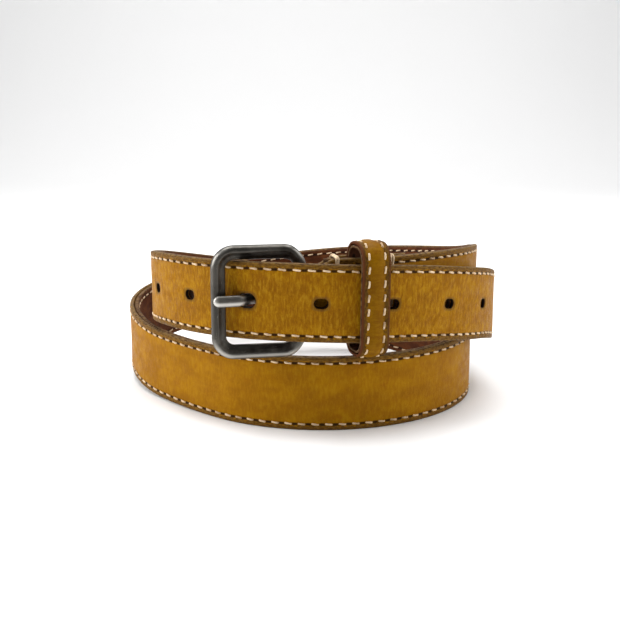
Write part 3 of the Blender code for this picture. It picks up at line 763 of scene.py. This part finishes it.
def buckle_metal(name):
    """Antique grey metal, brushed, lighter where it is rubbed and where highlights are painted, and darker
    with patina in its hollows and where shade is painted.
    """
    look = Look(name, metallic=1.0, Anisotropic=0.3)
    where = look.place((0.10, 1.0, 1.0))
    brushed = look.noise(where, 3.0, 4.0, 0.6)
    cloud = look.grain((0.12, 0.12, 0.12), 4.0)
    colour = look.mix(look.span(cloud, 0.35, 0.65), (0.050, 0.046, 0.040), (0.080, 0.074, 0.065))
    # Lighter metal, partly rubbed wear and partly painted highlight.
    colour = look.mix(look.span(look.mark("wear_and_highlight"), 0.0, 1.0), colour, (0.56, 0.54, 0.50))
    # Darker metal: patina in the frame's inner bevel, and a painted shade band along the prong.
    colour = look.mix(look.span(look.mark("patina_and_shade"), 0.0, 1.0), colour, (0.05, 0.045, 0.039))
    scratch = look.span(brushed, 0.60, 0.75)
    colour = look.mix(look.times(scratch, 0.35), colour, (0.55, 0.53, 0.49))
    roughness = look.span(look.math("ADD", brushed, cloud), 0.7, 1.3, 0.34, 0.50)
    pits = look.span(look.grain((1.1, 1.1, 1.1), 3.0), 0.62, 0.8)
    normal = look.bump(brushed, 0.05)
    normal = look.bump(pits, 0.05, normal)
    return look.finish(colour, roughness, normal)


def zip_brass(name):
    """Old brass with dull patches."""
    look = Look(name, metallic=1.0)
    where = look.inside()
    dull = look.noise(where, 420.0, 4.0)
    colour = look.mix(look.span(dull, 0.4, 0.66), (0.60, 0.42, 0.17), (0.27, 0.17, 0.07))
    fine = look.noise(where, 2600.0, 3.0)
    return look.finish(colour, look.span(dull, 0.3, 0.7, 0.25, 0.5), look.bump(fine, 0.03))


def zip_tape_look(name):
    """Dark brown tape with a herringbone weave."""
    look = Look(name, roughness=0.9, Sheen_Weight=0.3)
    along = look.flat(0)
    across = look.flat(1)
    lean = look.times(look.apart(look.math("FRACT", across), 0.5), 1.6)
    rib = look.math("FRACT", look.times(look.math("ADD", along, lean), 2.2))
    height = look.apart(rib, 0.5)
    colour = look.mix(look.span(height, 0.05, 0.45), (0.028, 0.013, 0.006), (0.10, 0.052, 0.024))
    return look.finish(colour, None, look.bump(height, 0.18))


# Pieces

EDGE_STEPS = (0.08, 0.3, 0.7, 1.2, 1.7, 2.1, 2.5, 2.9, 3.4, 4.2)


def strap_cuts():
    """The seven holes as slots: start, end, across, width."""
    cuts = []
    for number in range(HOLE_COUNT):
        long, wide = USED_HOLE_SIZE if number == USED_HOLE else HOLE_SIZE
        middle = FIRST_HOLE + number * HOLE_PITCH + (USED_HOLE_SHIFT if number == USED_HOLE else 0.0)
        cuts.append((middle - long / 2, middle + long / 2, 0.0, wide))
    return cuts


def from_slot(length, across, cut):
    """Distance of flat places from the wall of a slot, negative inside it."""
    start, end, middle, width = cut
    spine = np.clip(length, start + width / 2, end - width / 2)
    return np.hypot(length - spine, across - middle) - width / 2


def wear_at(lengths):
    """How creased the face is: much in the part that runs through the buckle, little elsewhere."""
    return smooth_step(*WEAR_START, lengths) * 0.85 + 0.15 - 0.1 * smooth_step(*WEAR_END, lengths)


def face_relief(length, across):
    """Height of the face's surface over a flat one: stitch channel, creases and pressed hole rims."""
    edge = half_width(length, STRAP_WIDTH) - np.abs(across)
    height = -0.28 * bell(edge, STITCH_MARGIN, 0.55)
    height += 0.10 * smooth_noise(11, length / 24, across / 11)
    wear = wear_at(length)
    wander = 1.4 * smooth_noise(12, length / 14, across / 6)
    inner = smooth_step(0.4, 2.0, edge)
    height += 0.055 * wear * inner * smooth_noise(13, length / 1.3 + wander, across / 8)
    crease = smooth_noise(14, length / 3.1 + wander, across / 13)
    height -= 0.22 * wear * inner * np.clip(crease - 0.35, 0, 1)
    for cut in strap_cuts():
        height -= 0.22 * bell(np.clip(from_slot(length, across, cut), 0, None), 0.0, 0.9)
    return height


def leather_marks(places, width, cuts):
    """Numbers that the leather materials read at each point."""
    length, across, depth = places.T
    nearest = np.full(len(places), 99.0)
    for cut in cuts:
        nearest = np.minimum(nearest, from_slot(length, across, cut))
    # The walls of the holes, which the materials darken as painted shade.
    on_wall = (nearest < 0.12) & (np.abs(depth) < LAYER / 2 - 0.1)
    edge = half_width(length, width) - np.abs(across)
    edge = np.where(np.abs(depth) < LAYER / 2 - 0.3, np.minimum(edge, 0.2), edge)
    edge = np.where(nearest < 2.0, np.maximum(edge, 3.2), edge)
    return {
        "place": places,
        "edge": edge,
        "worn": wear_at(length),
        # Hole walls, for the painted shade.
        "wall": np.where(on_wall, 1.0, 0.0),
        "rim": 0.75 * bell(nearest, 0.45, 0.4) * (depth > LAYER / 4),
    }


def strap_stations(start, end):
    """Places along the strap for its rows of points, closest in the fold, the ends and the fine stretch."""
    fold = -math.pi * FOLD_RADIUS
    places = [np.arange(max(start, 0.0), end - 1.0, COARSE_STEP), np.arange(*FINE_STRETCH, FINE_STEP)]
    places.append(end - np.array([1.0, 0.55, 0.25, 0.08, 0.0]))
    places.append(end - TIP_LENGTH * (1 - np.sin(np.linspace(0.2, 1.5, 14))))
    if start < 0:
        places += [np.linspace(fold, 0, 26), np.arange(start + 1.0, fold, COARSE_STEP)]
    places.append(start + np.array([0.0, 0.08, 0.25, 0.55]))
    stations = np.unique(np.round(np.concatenate(places), 3))
    inside = (stations >= FINE_STRETCH[0]) & (stations <= FINE_STRETCH[1])
    fine_steps = (stations - FINE_STRETCH[0]) / FINE_STEP
    on_fine = np.isclose(fine_steps, np.round(fine_steps), atol=1e-3)
    stations = stations[~inside | on_fine]
    keep = [0]
    for k in range(1, len(stations)):
        if stations[k] - stations[keep[-1]] > 0.07:
            keep.append(k)
    return stations[keep]


def make_strap_leathers():
    """The face leather and the lining."""
    cuts = strap_cuts()
    extra, slot_width = PRONG_SLOT
    fold = math.pi * FOLD_RADIUS
    slot = (-fold - extra, extra, -PRONG_DROP, slot_width)
    stations = strap_stations(-fold - FLAP_LENGTH, STRAP_LENGTH)
    section = strip_section(STRAP_WIDTH, LAYER, 0.8, EDGE_STEPS, STRAP_COLUMNS)
    scale = half_width(stations, STRAP_WIDTH) / (STRAP_WIDTH / 2)
    places, faces = strip(stations, section, scale, LAYER, [slot, *cuts], round_ends=0.8)
    marks = leather_marks(places, STRAP_WIDTH, [slot, *cuts])
    front = places[:, 2] / LAYER + 0.5
    raised = places.copy()
    raised[:, 2] += front * np.where(places[:, 0] > 0, face_relief(places[:, 0], places[:, 1]), 0)
    make_piece("face_leather", folded(raised), faces, face_leather("face_leather"), "strap", ["face_strap"],
               marks)

    width = STRAP_WIDTH - 2 * LINING_TRIM
    zip_cut = (length_at(ZIP_ANGLES[0]), length_at(ZIP_ANGLES[1]), 0.0, ZIP_SLOT)
    end = STRAP_LENGTH - LINING_TRIM
    stations = strap_stations(LINING_START, end)
    section = strip_section(width, LAYER, 0.7, EDGE_STEPS, STRAP_COLUMNS)
    scale = np.where(stations > FOLD_TAPER[1], half_width(stations, width) / (width / 2), 1.0)
    places, faces = strip(stations, section, scale, LAYER, [*cuts, zip_cut], round_ends=0.8)
    marks = leather_marks(places, width, [*cuts, zip_cut])
    raised = places.copy()
    back = 0.5 - places[:, 2] / LAYER
    edge = width / 2 - np.abs(places[:, 1])
    dent = -0.2 * bell(edge, STITCH_MARGIN, 0.6)
    dent += 0.06 * smooth_noise(21, places[:, 0] / 6, places[:, 1] / 6)
    raised[:, 2] -= back * dent
    make_piece("lining_leather", lined(raised), faces, lining_leather("lining_leather"), "strap", ["lining"],
               marks)


def edge_path(start, sign):
    """The flat path of an edge row of stitches, which follows the strap's edge round its tip."""
    lengths = np.concatenate([np.arange(start, STRAP_LENGTH - TIP_LENGTH, 1.0),
                              STRAP_LENGTH - TIP_LENGTH * (1 - np.sin(np.linspace(0, 1.25, 40)))])
    across = half_width(np.maximum(lengths, 30.0), STRAP_WIDTH) - STITCH_MARGIN
    return np.column_stack([lengths, sign * across])


def make_edge_stitches(material):
    """The stitches of both edge rows, as they show on the face and on the lining."""
    for edge, sign in (("upper", 1), ("lower", -1)):
        path = edge_path(FACE_STITCH_START, sign)
        places, faces = stitch_row(path, lambda l, a: STRAP_FACE + face_relief(l, a))
        make_piece(f"{edge}_stitches_face", on_coil(places), faces, material, "strap",
                   [f"{edge}_stitch_face"])
        path = edge_path(LINING_STITCH_START, sign)
        places, faces = stitch_row(path, lambda l, a: np.full(len(l), STRAP_FACE - 0.15), 0.34)
        places[:, 2] *= -1
        make_piece(f"{edge}_stitches_lining", on_coil(places), turned(faces), material, "strap",
                   [f"{edge}_stitch_lining"])


def rounded_outline(corners, turn_points, run_points):
    """Places round a closed outline of quarter arcs joined by straight runs, and the directions out of it."""
    points = []
    normals = []
    for number, (middle, radius, start) in enumerate(corners):
        turns = np.radians(np.linspace(start, start + 90, turn_points))
        away = np.column_stack([np.cos(turns), np.sin(turns)])
        points.append(np.array(middle) + radius * away)
        next_middle, next_radius, _ = corners[(number + 1) % len(corners)]
        behind = points[-1][-1]
        ahead = np.array(next_middle) + next_radius * away[-1]
        share = np.linspace(0, 1, run_points)[1:-1, None]
        points.append(behind * (1 - share) + ahead * share)
        normals += [away, np.repeat(away[-1:], run_points - 2, axis=0)]
    return np.concatenate(points), np.concatenate(normals)


def box_corners(low, high, radius):
    """The four corners of a rounded rectangle, for rounded_outline."""
    left = low[0] + radius
    right = high[0] - radius
    bottom = low[1] + radius
    top = high[1] - radius
    return [((right, bottom), radius, -90), ((right, top), radius, 0), ((left, top), radius, 90),
            ((left, bottom), radius, 180)]


def rounded_box(half_size, radius, turn_points, run_points):
    """The outline of a rounded rectangle about the origin, from half its size each way."""
    half_long, half_wide = half_size
    corners = box_corners((-half_long, -half_wide), (half_long, half_wide), radius)
    return rounded_outline(corners, turn_points, run_points)[0]


def make_cross_stitches(material):
    """Turns of thread round the strap and its flap, on each side of the keeper."""
    random = np.random.default_rng(5)
    names = ("cross_stitch_buckle_side", "cross_stitch_strap_side")
    for name, length, strands in zip(names, CROSS_STITCHES, (2, 4)):
        top = STRAP_WIDTH / 2 + 0.35
        inner = float(flap_out(np.array([length]))[0]) - LAYER / 2 - 0.35
        loop, away = rounded_outline(box_corners((-top, inner), (top, STRAP_FACE + 0.35), 0.9), 6, 12)
        across, out = loop.T
        parts = []
        for number in range(strands):
            lean = random.uniform(-1.0, 1.0)
            shift = (number - (strands - 1) / 2) * 0.7 + lean * out / 6
            shift += 0.3 * smooth_noise(31 + number, out * 0.9, across * 0.5)
            lift = away * (0.3 * (number % 2))
            places = np.column_stack([length + shift, loop + lift])
            parts.append(thread_loop(on_coil(places), CROSS_THREAD))
        points, faces = join_parts(parts)
        make_piece(f"{name}_thread", points, faces, material, "strap", [name])


# The frame's section, outward and forward, from its outside over the front and back round behind
FRAME_SECTION = [
    (2.75, -0.9), (2.85, 0.2), (2.6, 1.2), (1.9, 1.95), (1.0, 2.2), (0.35, 2.1), (-0.1, 1.75), (-0.9, 1.05),
    (-1.8, 0.5), (-2.5, 0.1), (-2.75, -0.5), (-2.5, -1.3), (-1.5, -1.85), (0.2, -2.0), (1.9, -1.8),
]


def closed_spline(points, count):
    """A smooth closed curve through the points, with count places for each of them."""
    points = np.asarray(points, float)
    before, after, beyond = [np.roll(points, -k, axis=0) for k in (-1, 1, 2)]
    slope = after - before
    bend = 2 * before - 5 * points + 4 * after - beyond
    turn = 3 * points - before - 3 * after + beyond
    places = [0.5 * (2 * points + slope * u + bend * u**2 + turn * u**3)
              for u in np.linspace(0, 1, count, endpoint=False)]
    return np.stack(places, axis=1).reshape(-1, 2)


def make_buckle(material):
    """The frame, with a bevel that slopes in to its opening and a round bar in the fold."""
    low = (-FRAME_LENGTH, -FRAME_HEIGHT / 2)
    high = (0.0, FRAME_HEIGHT / 2)
    corners = box_corners(low, high, HEEL_CORNER)[:2]
    corners += box_corners(low, high, TOE_CORNER)[2:]
    outline, away = rounded_outline(corners, 30, 34)
    section = closed_spline(FRAME_SECTION, 4)
    turns = np.arctan2(section[:, 1], section[:, 0])
    bar = BAR_RADIUS * np.column_stack([np.cos(turns), np.sin(turns)])
    slim = smooth_step(-0.75 * HEEL_CORNER, -0.15 * HEEL_CORNER, outline[:, 0])[:, None, None]
    shape = section * (1 - slim) + bar * slim
    sections = np.zeros((len(outline), len(section), 3))
    sections[:, :, :2] = outline[:, None] + away[:, None] * shape[:, :, :1]
    sections[:, :, 2] = shape[:, :, 1]
    heel = coil_matrix(0.0, 0.0, BAR_OUT)
    matrix = heel @ Matrix.Rotation(FRAME_TILT, 4, "Y") @ Matrix.Translation((0, -FRAME_DROP, 0))
    points, faces = sweep(sections, True)
    run = np.repeat(np.arange(len(outline)), len(section))
    outward, forward = section.T
    # Lighter metal on the shoulders, corners and ridge: partly rubbed wear, partly painted highlight.
    shoulder = bell(outward, 2.2, 0.9) * bell(forward, 1.5, 0.9)
    cornered = np.abs(away[:, 0] * away[:, 1])[:, None] * 2
    ridge = bell(outward, 0.25, 0.35) * bell(forward, 2.0, 0.4)
    # Painted highlight: the bottom bar's lower front made lighter, as if lit from the floor.
    lower = np.maximum(-away[:, 1], 0)[:, None]
    front = bell(outward, 1.4, 0.9) * bell(forward, 2.0, 0.7)
    wear_and_highlight = np.clip(shoulder * (0.10 + 0.45 * cornered) + 0.45 * lower * front + 0.08 * ridge, 0, 1)
    # Darker patina along the frame's inner bevel.
    patina_and_shade = 0.75 * bell(outward, -2.3, 0.9)
    marks = {"place": np.column_stack([run, np.tile(section, (len(outline), 1))]),
             "wear_and_highlight": wear_and_highlight.ravel(), "patina_and_shade": np.tile(patina_and_shade, len(outline))}
    make_piece("buckle_frame_metal", placed(matrix)(points), faces, material, "buckle", ["buckle_frame"],
               marks)


def make_prong(material):
    """The prong: its ring round the bar, and a tongue that rises through the strap to the frame's toe."""
    ring = np.radians(np.arange(228, 4, -24.0))
    route = [(PRONG_RING * math.sin(turn), PRONG_RING * math.cos(turn)) for turn in ring]
    route = np.array(route + [(0.0, PRONG_RING), *PRONG_ROUTE])
    knots = run_along(route)
    tip_start = knots[-1] - PRONG_TIP
    tip_steps = knots[-1] - PRONG_TIP * (1 - np.sin(np.linspace(0.1, 1.55, 16)))
    steps = np.concatenate([np.linspace(0, tip_start, 130), tip_steps])
    along_frame, out = [smooth_curve(knots, route[:, i], steps) for i in (0, 1)]
    path = np.column_stack([along_frame, np.zeros(len(steps)), out])
    front = np.cross([0.0, 1.0, 0.0], unit(np.gradient(path, axis=0)))
    turns = np.linspace(0, math.tau, 28, endpoint=False)
    square = 0.72
    wide = np.sign(np.cos(turns)) * np.abs(np.cos(turns))**square
    thick = np.sign(np.sin(turns)) * np.abs(np.sin(turns))**square
    to_tip = np.clip((steps - tip_start) / (PRONG_TIP + 0.05), 0, 1)
    size = np.sqrt(1 - to_tip**2) * np.where(steps < knots[len(ring)], 0.85, 1.0)
    size = np.maximum(size, 0.08)
    sections = path[:, None] + front[:, None] * (thick * PRONG_THICKNESS / 2)[:, None] * size[:, None, None]
    sections[:, :, 1] += wide * (PRONG_WIDTH / 2 * size)[:, None]
    matrix = coil_matrix(0.0, 0.0, BAR_OUT) @ Matrix.Translation((0, -PRONG_DROP, 0))
    points, faces = sweep(sections, False)
    # Painted highlight along a band on the prong's lower side and at its tip, and painted shade in a band
    # along its middle, standing in for reflections of the lights.
    worn = bell(wide, -0.45, 0.35)
    dull = bell(wide, 0.15, 0.30) * (1 - to_tip[:, None])
    wear_and_highlight = np.clip(0.28 + 0.45 * worn + 0.5 * to_tip[:, None], 0, 1) * (1 - 0.6 * dull)
    along_tongue = np.repeat(steps, len(turns))
    marks = {"place": np.column_stack([along_tongue, points[:, 1], np.tile(thick, len(steps))]),
             "wear_and_highlight": wear_and_highlight.ravel(), "patina_and_shade": (0.7 * dull).ravel()}
    make_piece("buckle_prong_metal", placed(matrix)(points), faces, material, "prong", ["buckle_prong"],
               marks)


def keeper_loop(inset):
    """The keeper's closed outline across and out from the strap's middle, inset from its outside."""
    low = (-KEEPER_HEIGHT / 2 + inset, KEEPER_BACK + inset)
    high = (KEEPER_HEIGHT / 2 - inset, KEEPER_FRONT - inset)
    outline, away = rounded_outline(box_corners(low, high, KEEPER_CORNER - inset), 16, 30)
    return outline, away, run_along(outline)


def keeper_relief(across):
    """The keeper's face stands up between its two rows of stitches."""
    crown = 0.45 * (1 - smooth_step(0.6, KEEPER_STITCH, np.abs(across)))
    return crown - 0.22 * bell(np.abs(across), KEEPER_STITCH, 0.4)


def make_keeper(stitch_material):
    """The keeper's face and lining, and its two rows of stitches."""
    into_world = placed(coil_matrix(KEEPER_AT, -KEEPER_DROP, 0.0))
    steps = (0.06, 0.22, 0.5, 0.8, 1.2, 1.6, 2.0, 2.4, 2.8, 3.3)
    face_look = face_leather("keeper_leather", keeper=True)
    lining_look = lining_leather("keeper_lining", (0.05, 0.017, 0.008), (0.12, 0.042, 0.018))
    lining_inset = KEEPER_FACE + GAP + KEEPER_LINING / 2
    layers = (("keeper_face", KEEPER_FACE / 2, KEEPER_FACE, 0.55, "face_leather", face_look),
              ("keeper_lining", lining_inset, KEEPER_LINING, 0.45, "lining_leather", lining_look))
    for name, inset, thickness, rounding, slot, material in layers:
        outline, away, run = keeper_loop(inset)
        section = strip_section(KEEPER_WIDTH, thickness, rounding, steps, 8)
        places, faces = strip(run, section, np.ones(len(run)), thickness, closed=True)
        station = np.round(np.interp(places[:, 0], run, np.arange(len(run)))).astype(int)
        front = np.clip(places[:, 2] / thickness + 0.5, 0, 1)
        lift = places[:, 2] + (front * keeper_relief(places[:, 1]) if name == "keeper_face" else 0)
        loop = outline[station] + away[station] * np.asarray(lift)[:, None]
        edge = KEEPER_WIDTH / 2 - np.abs(places[:, 1])
        flat = np.abs(places[:, 2]) > thickness / 2 - 0.15
        edge = np.where(flat, edge + 0.25, 0.1)
        none = np.zeros(len(places))
        marks = {"place": places, "edge": edge, "worn": none + 0.25, "wall": none, "rim": none}
        points = into_world(np.column_stack([places[:, 1], loop]))
        make_piece(f"{name}_leather", points, faces, material, "keeper", [name], marks)
    outline, away, run = keeper_loop(0.0)
    for side, across in (("left", -KEEPER_STITCH), ("right", KEEPER_STITCH)):
        path = np.column_stack([np.append(run, run[-1] + 0.5), np.full(len(run) + 1, across)])
        places, faces = stitch_row(path, lambda l, a: keeper_relief(a), 0.40)
        loop = rows_at(places[:, 0], run, outline) + rows_at(places[:, 0], run, away) * places[:, 2:]
        points = into_world(np.column_stack([places[:, 1], loop]))
        make_piece(f"keeper_stitches_{side}", points, faces, stitch_material, "keeper",
                   [f"keeper_stitch_{side}"])


# Zip: a tooth's outline along and towards the zip's middle, then the pieces
TOOTH = [(-0.45, 2.2), (0.45, 2.2), (0.45, 0.7), (0.62, 0.25), (0.5, -0.35), (0.25, -0.55), (-0.25, -0.55),
         (-0.5, -0.35), (-0.62, 0.25), (-0.45, 0.7)]


def plate(outline, thickness, bevel):
    """Flat points and faces of a plate with bevelled edges, its outline running anticlockwise."""
    outline = np.asarray(outline, float)
    middle = outline.mean(axis=0)
    reach = np.linalg.norm(outline - middle, axis=1)[:, None]
    shrunk = outline - (outline - middle) / reach * bevel
    levels = [(shrunk, thickness / 2), (outline, thickness / 2 - bevel), (outline, bevel - thickness / 2),
              (shrunk, -thickness / 2)]
    sections = np.stack([np.column_stack([ring, np.full(len(ring), level)]) for ring, level in levels])
    points, faces = sweep(sections, False)
    return points, turned(faces) if polygon_turn(outline) < 0 else faces


def polygon_turn(outline):
    """Positive where an outline runs anticlockwise."""
    x, y = outline.T
    return float(np.sum(x * np.roll(y, -1) - np.roll(x, -1) * y))


def make_zip(stitch_material):
    """Tapes, teeth, stops, stitching, slider and pull."""
    brass = zip_brass("zip_brass")
    tape = zip_tape_look("zip_tape")
    start = length_at(ZIP_ANGLES[0])
    end = length_at(ZIP_ANGLES[1])
    stations = np.arange(start + ZIP_SLOT / 2, end - ZIP_SLOT / 2, FINE_STEP)
    section = strip_section(TAPE_WIDTH, TAPE_THICKNESS, 0.15, (0.03, 0.12, 0.4), 5)
    flat, tape_faces = strip(stations, section, np.ones(len(stations)), TAPE_THICKNESS)
    for edge, sign in (("upper", 1), ("lower", -1)):
        points = on_coil(flat + [0, sign * TAPE_ACROSS, TAPE_OUT])
        make_piece(f"zip_tape_{edge}_cloth", points, tape_faces, tape, "strap", [f"zip_tape_{edge}"],
                   {"place": flat})
        tooth, tooth_faces = plate([(x, sign * y) for x, y in TOOTH][::-sign], TOOTH_THICKNESS, TOOTH_BEVEL)
        first = start + TOOTH_MARGIN + (TOOTH_PITCH / 2 if sign < 0 else 0)
        lengths = np.arange(first, end - TOOTH_MARGIN, TOOTH_PITCH)
        places, faces = join_parts([(tooth + [length, 0, TEETH_OUT], tooth_faces) for length in lengths])
        make_piece(f"zip_teeth_{edge}_brass", on_coil(places), faces, brass, "strap", [f"zip_teeth_{edge}"])
    reach = ZIP_END - GAP - STOP_SIZE[0]
    points, faces = plate(rounded_box(STOP_SIZE, 0.5, 6, 4), 1.9, 0.35)
    for name, length in (("zip_stop_bottom", start + reach), ("zip_stop_top", end - reach)):
        into_world = placed(coil_matrix(length, 0, TEETH_OUT))
        make_piece(f"{name}_brass", into_world(points), faces, brass, "strap", [name])
    half = ZIP_SLOT / 2 + ZIP_STITCH_MARGIN
    corners = box_corners((start - ZIP_STITCH_MARGIN, -half), (end + ZIP_STITCH_MARGIN, half), half)
    loop, _ = rounded_outline(corners, 20, 80)
    path = np.vstack([loop, loop[:1]])
    places, faces = stitch_row(path, lambda l, a: np.full(len(l), STRAP_FACE - 0.1), 0.32, closed=True)
    places[:, 2] *= -1
    make_piece("zip_stitches", on_coil(places), turned(faces), stitch_material, "strap",
               ["zip_stitch"])

    body = coil_matrix(length_at(SLIDER_ANGLE), 0, SLIDER_OUT)
    outline = rounded_box(SLIDER_SIZE, 2.2, 8, 6)
    outline[:, 1] *= 0.82 + 0.18 * smooth_step(-SLIDER_SIZE[0], 2.0, outline[:, 0])
    parts = [plate(outline, 0.9, 0.22)]
    rim, rim_faces = plate(rounded_box((3.4, 0.3), 0.28, 4, 8), 1.2, 0.08)
    lug, lug_faces = plate(rounded_box((1.5, 1.15), 1.1, 6, 4), 0.7, 0.12)
    stood = lug[:, [0, 2, 1]] * [1, -1, 1]
    for side in (1, -1):
        parts += [(rim + [0.3, side * 3.0, 0.3], rim_faces), (stood + [0, side * 1.75, -1.4], lug_faces)]
    turns = np.linspace(0, math.tau, 12, endpoint=False)
    disc = np.column_stack([PIN_RADIUS * np.cos(turns), 0 * turns, PIN_OUT - PIN_RADIUS * np.sin(turns)])
    parts.append(sweep(np.stack([disc + [0, PIN_REACH, 0], disc - [0, PIN_REACH, 0]]), False))
    points, faces = join_parts(parts)
    make_piece("zip_slider_brass", placed(body)(points), faces, brass, "slider", ["zip_slider"],
               smooth=False)

    knots, half_widths = np.array(PULL_HALF_WIDTHS).T
    ends = [knots[0] + 0.1, knots[1], PULL_ROOT - 0.4, PULL_ROOT - 0.15]
    stations = np.unique(np.round(np.concatenate([np.linspace(knots[0], PULL_ROOT, 40), ends]), 3))
    scale = np.interp(stations, knots, half_widths) / (PULL_WIDTH / 2)
    section = strip_section(PULL_WIDTH, PULL_THICKNESS, 0.3, (0.05, 0.2, 0.5), 9)
    plate_part = strip(stations, section, scale, PULL_THICKNESS, [PULL_WINDOW], round_ends=0.4)
    turns = np.linspace(0, math.tau, 32, endpoint=False)
    half = BARREL_WIDTH / 2
    wall = [(EYE_RADIUS, half), (BARREL_RADIUS, half), (BARREL_RADIUS, -half), (EYE_RADIUS, -half)]
    barrel = [[(out * math.cos(turn), across, out * math.sin(turn)) for out, across in wall]
              for turn in turns]
    places, faces = join_parts([plate_part, sweep(np.array(barrel), True)])
    pivot = coil_matrix(length_at(SLIDER_ANGLE), 0, PULL_PIVOT_OUT) @ Matrix.Rotation(-PULL_TILT, 4, "Y")
    make_piece("zip_pull_brass", placed(pivot)(places), faces, brass, "pull", ["zip_pull"])


# Setting

def make_floor():
    """A pale floor that rises behind the belt."""
    profile = [(FLOOR_FRONT, 0.0), (FLOOR_BACK, 0.0)]
    for turn in np.radians(np.arange(10, 91, 10)):
        profile.append((FLOOR_BACK + FLOOR_BEND * math.sin(turn), FLOOR_BEND * (1 - math.cos(turn))))
    profile.append((FLOOR_BACK + FLOOR_BEND, FLOOR_TOP))
    points = [(x, y, z) for y, z in profile for x in (-FLOOR_SIDE, FLOOR_SIDE)]
    faces = [[2 * k, 2 * k + 1, 2 * k + 3, 2 * k + 2] for k in range(len(profile) - 1)]
    mesh = bpy.data.meshes.new("floor")
    mesh.from_pydata(points, [], faces)
    mesh.shade_smooth()
    look = Look("floor_paper", roughness=0.9)
    shade = look.noise(look.inside(), 3.0)
    mesh.materials.append(look.finish(look.mix(shade, (0.90, 0.90, 0.90), (0.93, 0.93, 0.93))))
    floor = add_object("floor", mesh)


def make_light(name, place, size, power):
    """A soft square light that faces the belt."""
    light = bpy.data.lights.new(name, "AREA")
    light.shape = "SQUARE"
    light.size = size
    light.energy = power
    thing = add_object(name, light)
    thing.location = place
    thing.rotation_euler = (Vector(LIGHT_TARGET) - Vector(place)).to_track_quat("-Z", "Y").to_euler()


def make_setting():
    """Floor, light from above, both sides and the front, and the camera a little above the belt."""
    make_floor()
    for light in LIGHTS:
        make_light(*light)
    world = bpy.data.worlds.new("studio")
    world.use_nodes = True
    world.node_tree.nodes["Background"].inputs["Color"].default_value = (1.0, 1.0, 1.0, 1.0)
    world.node_tree.nodes["Background"].inputs["Strength"].default_value = WORLD_STRENGTH
    bpy.context.scene.world = world
    bpy.context.scene.view_settings.view_transform = "Standard"

    camera = add_object("camera", bpy.data.cameras.new("camera"))
    camera.location = CAMERA_PLACE
    camera.rotation_euler = (math.radians(90 - CAMERA_DOWN), 0.0, 0.0)
    camera.data.sensor_width = SENSOR_WIDTH
    camera.data.lens = CAMERA_LENS
    camera.data.clip_start = 0.01
    bpy.context.scene.camera = camera


def main():
    sewing_thread = thread_look("sewing_thread")
    metal = buckle_metal("buckle_metal")
    make_strap_leathers()
    make_edge_stitches(sewing_thread)
    make_cross_stitches(sewing_thread)
    make_buckle(metal)
    make_prong(metal)
    make_keeper(sewing_thread)
    make_zip(sewing_thread)
    make_setting()


main()
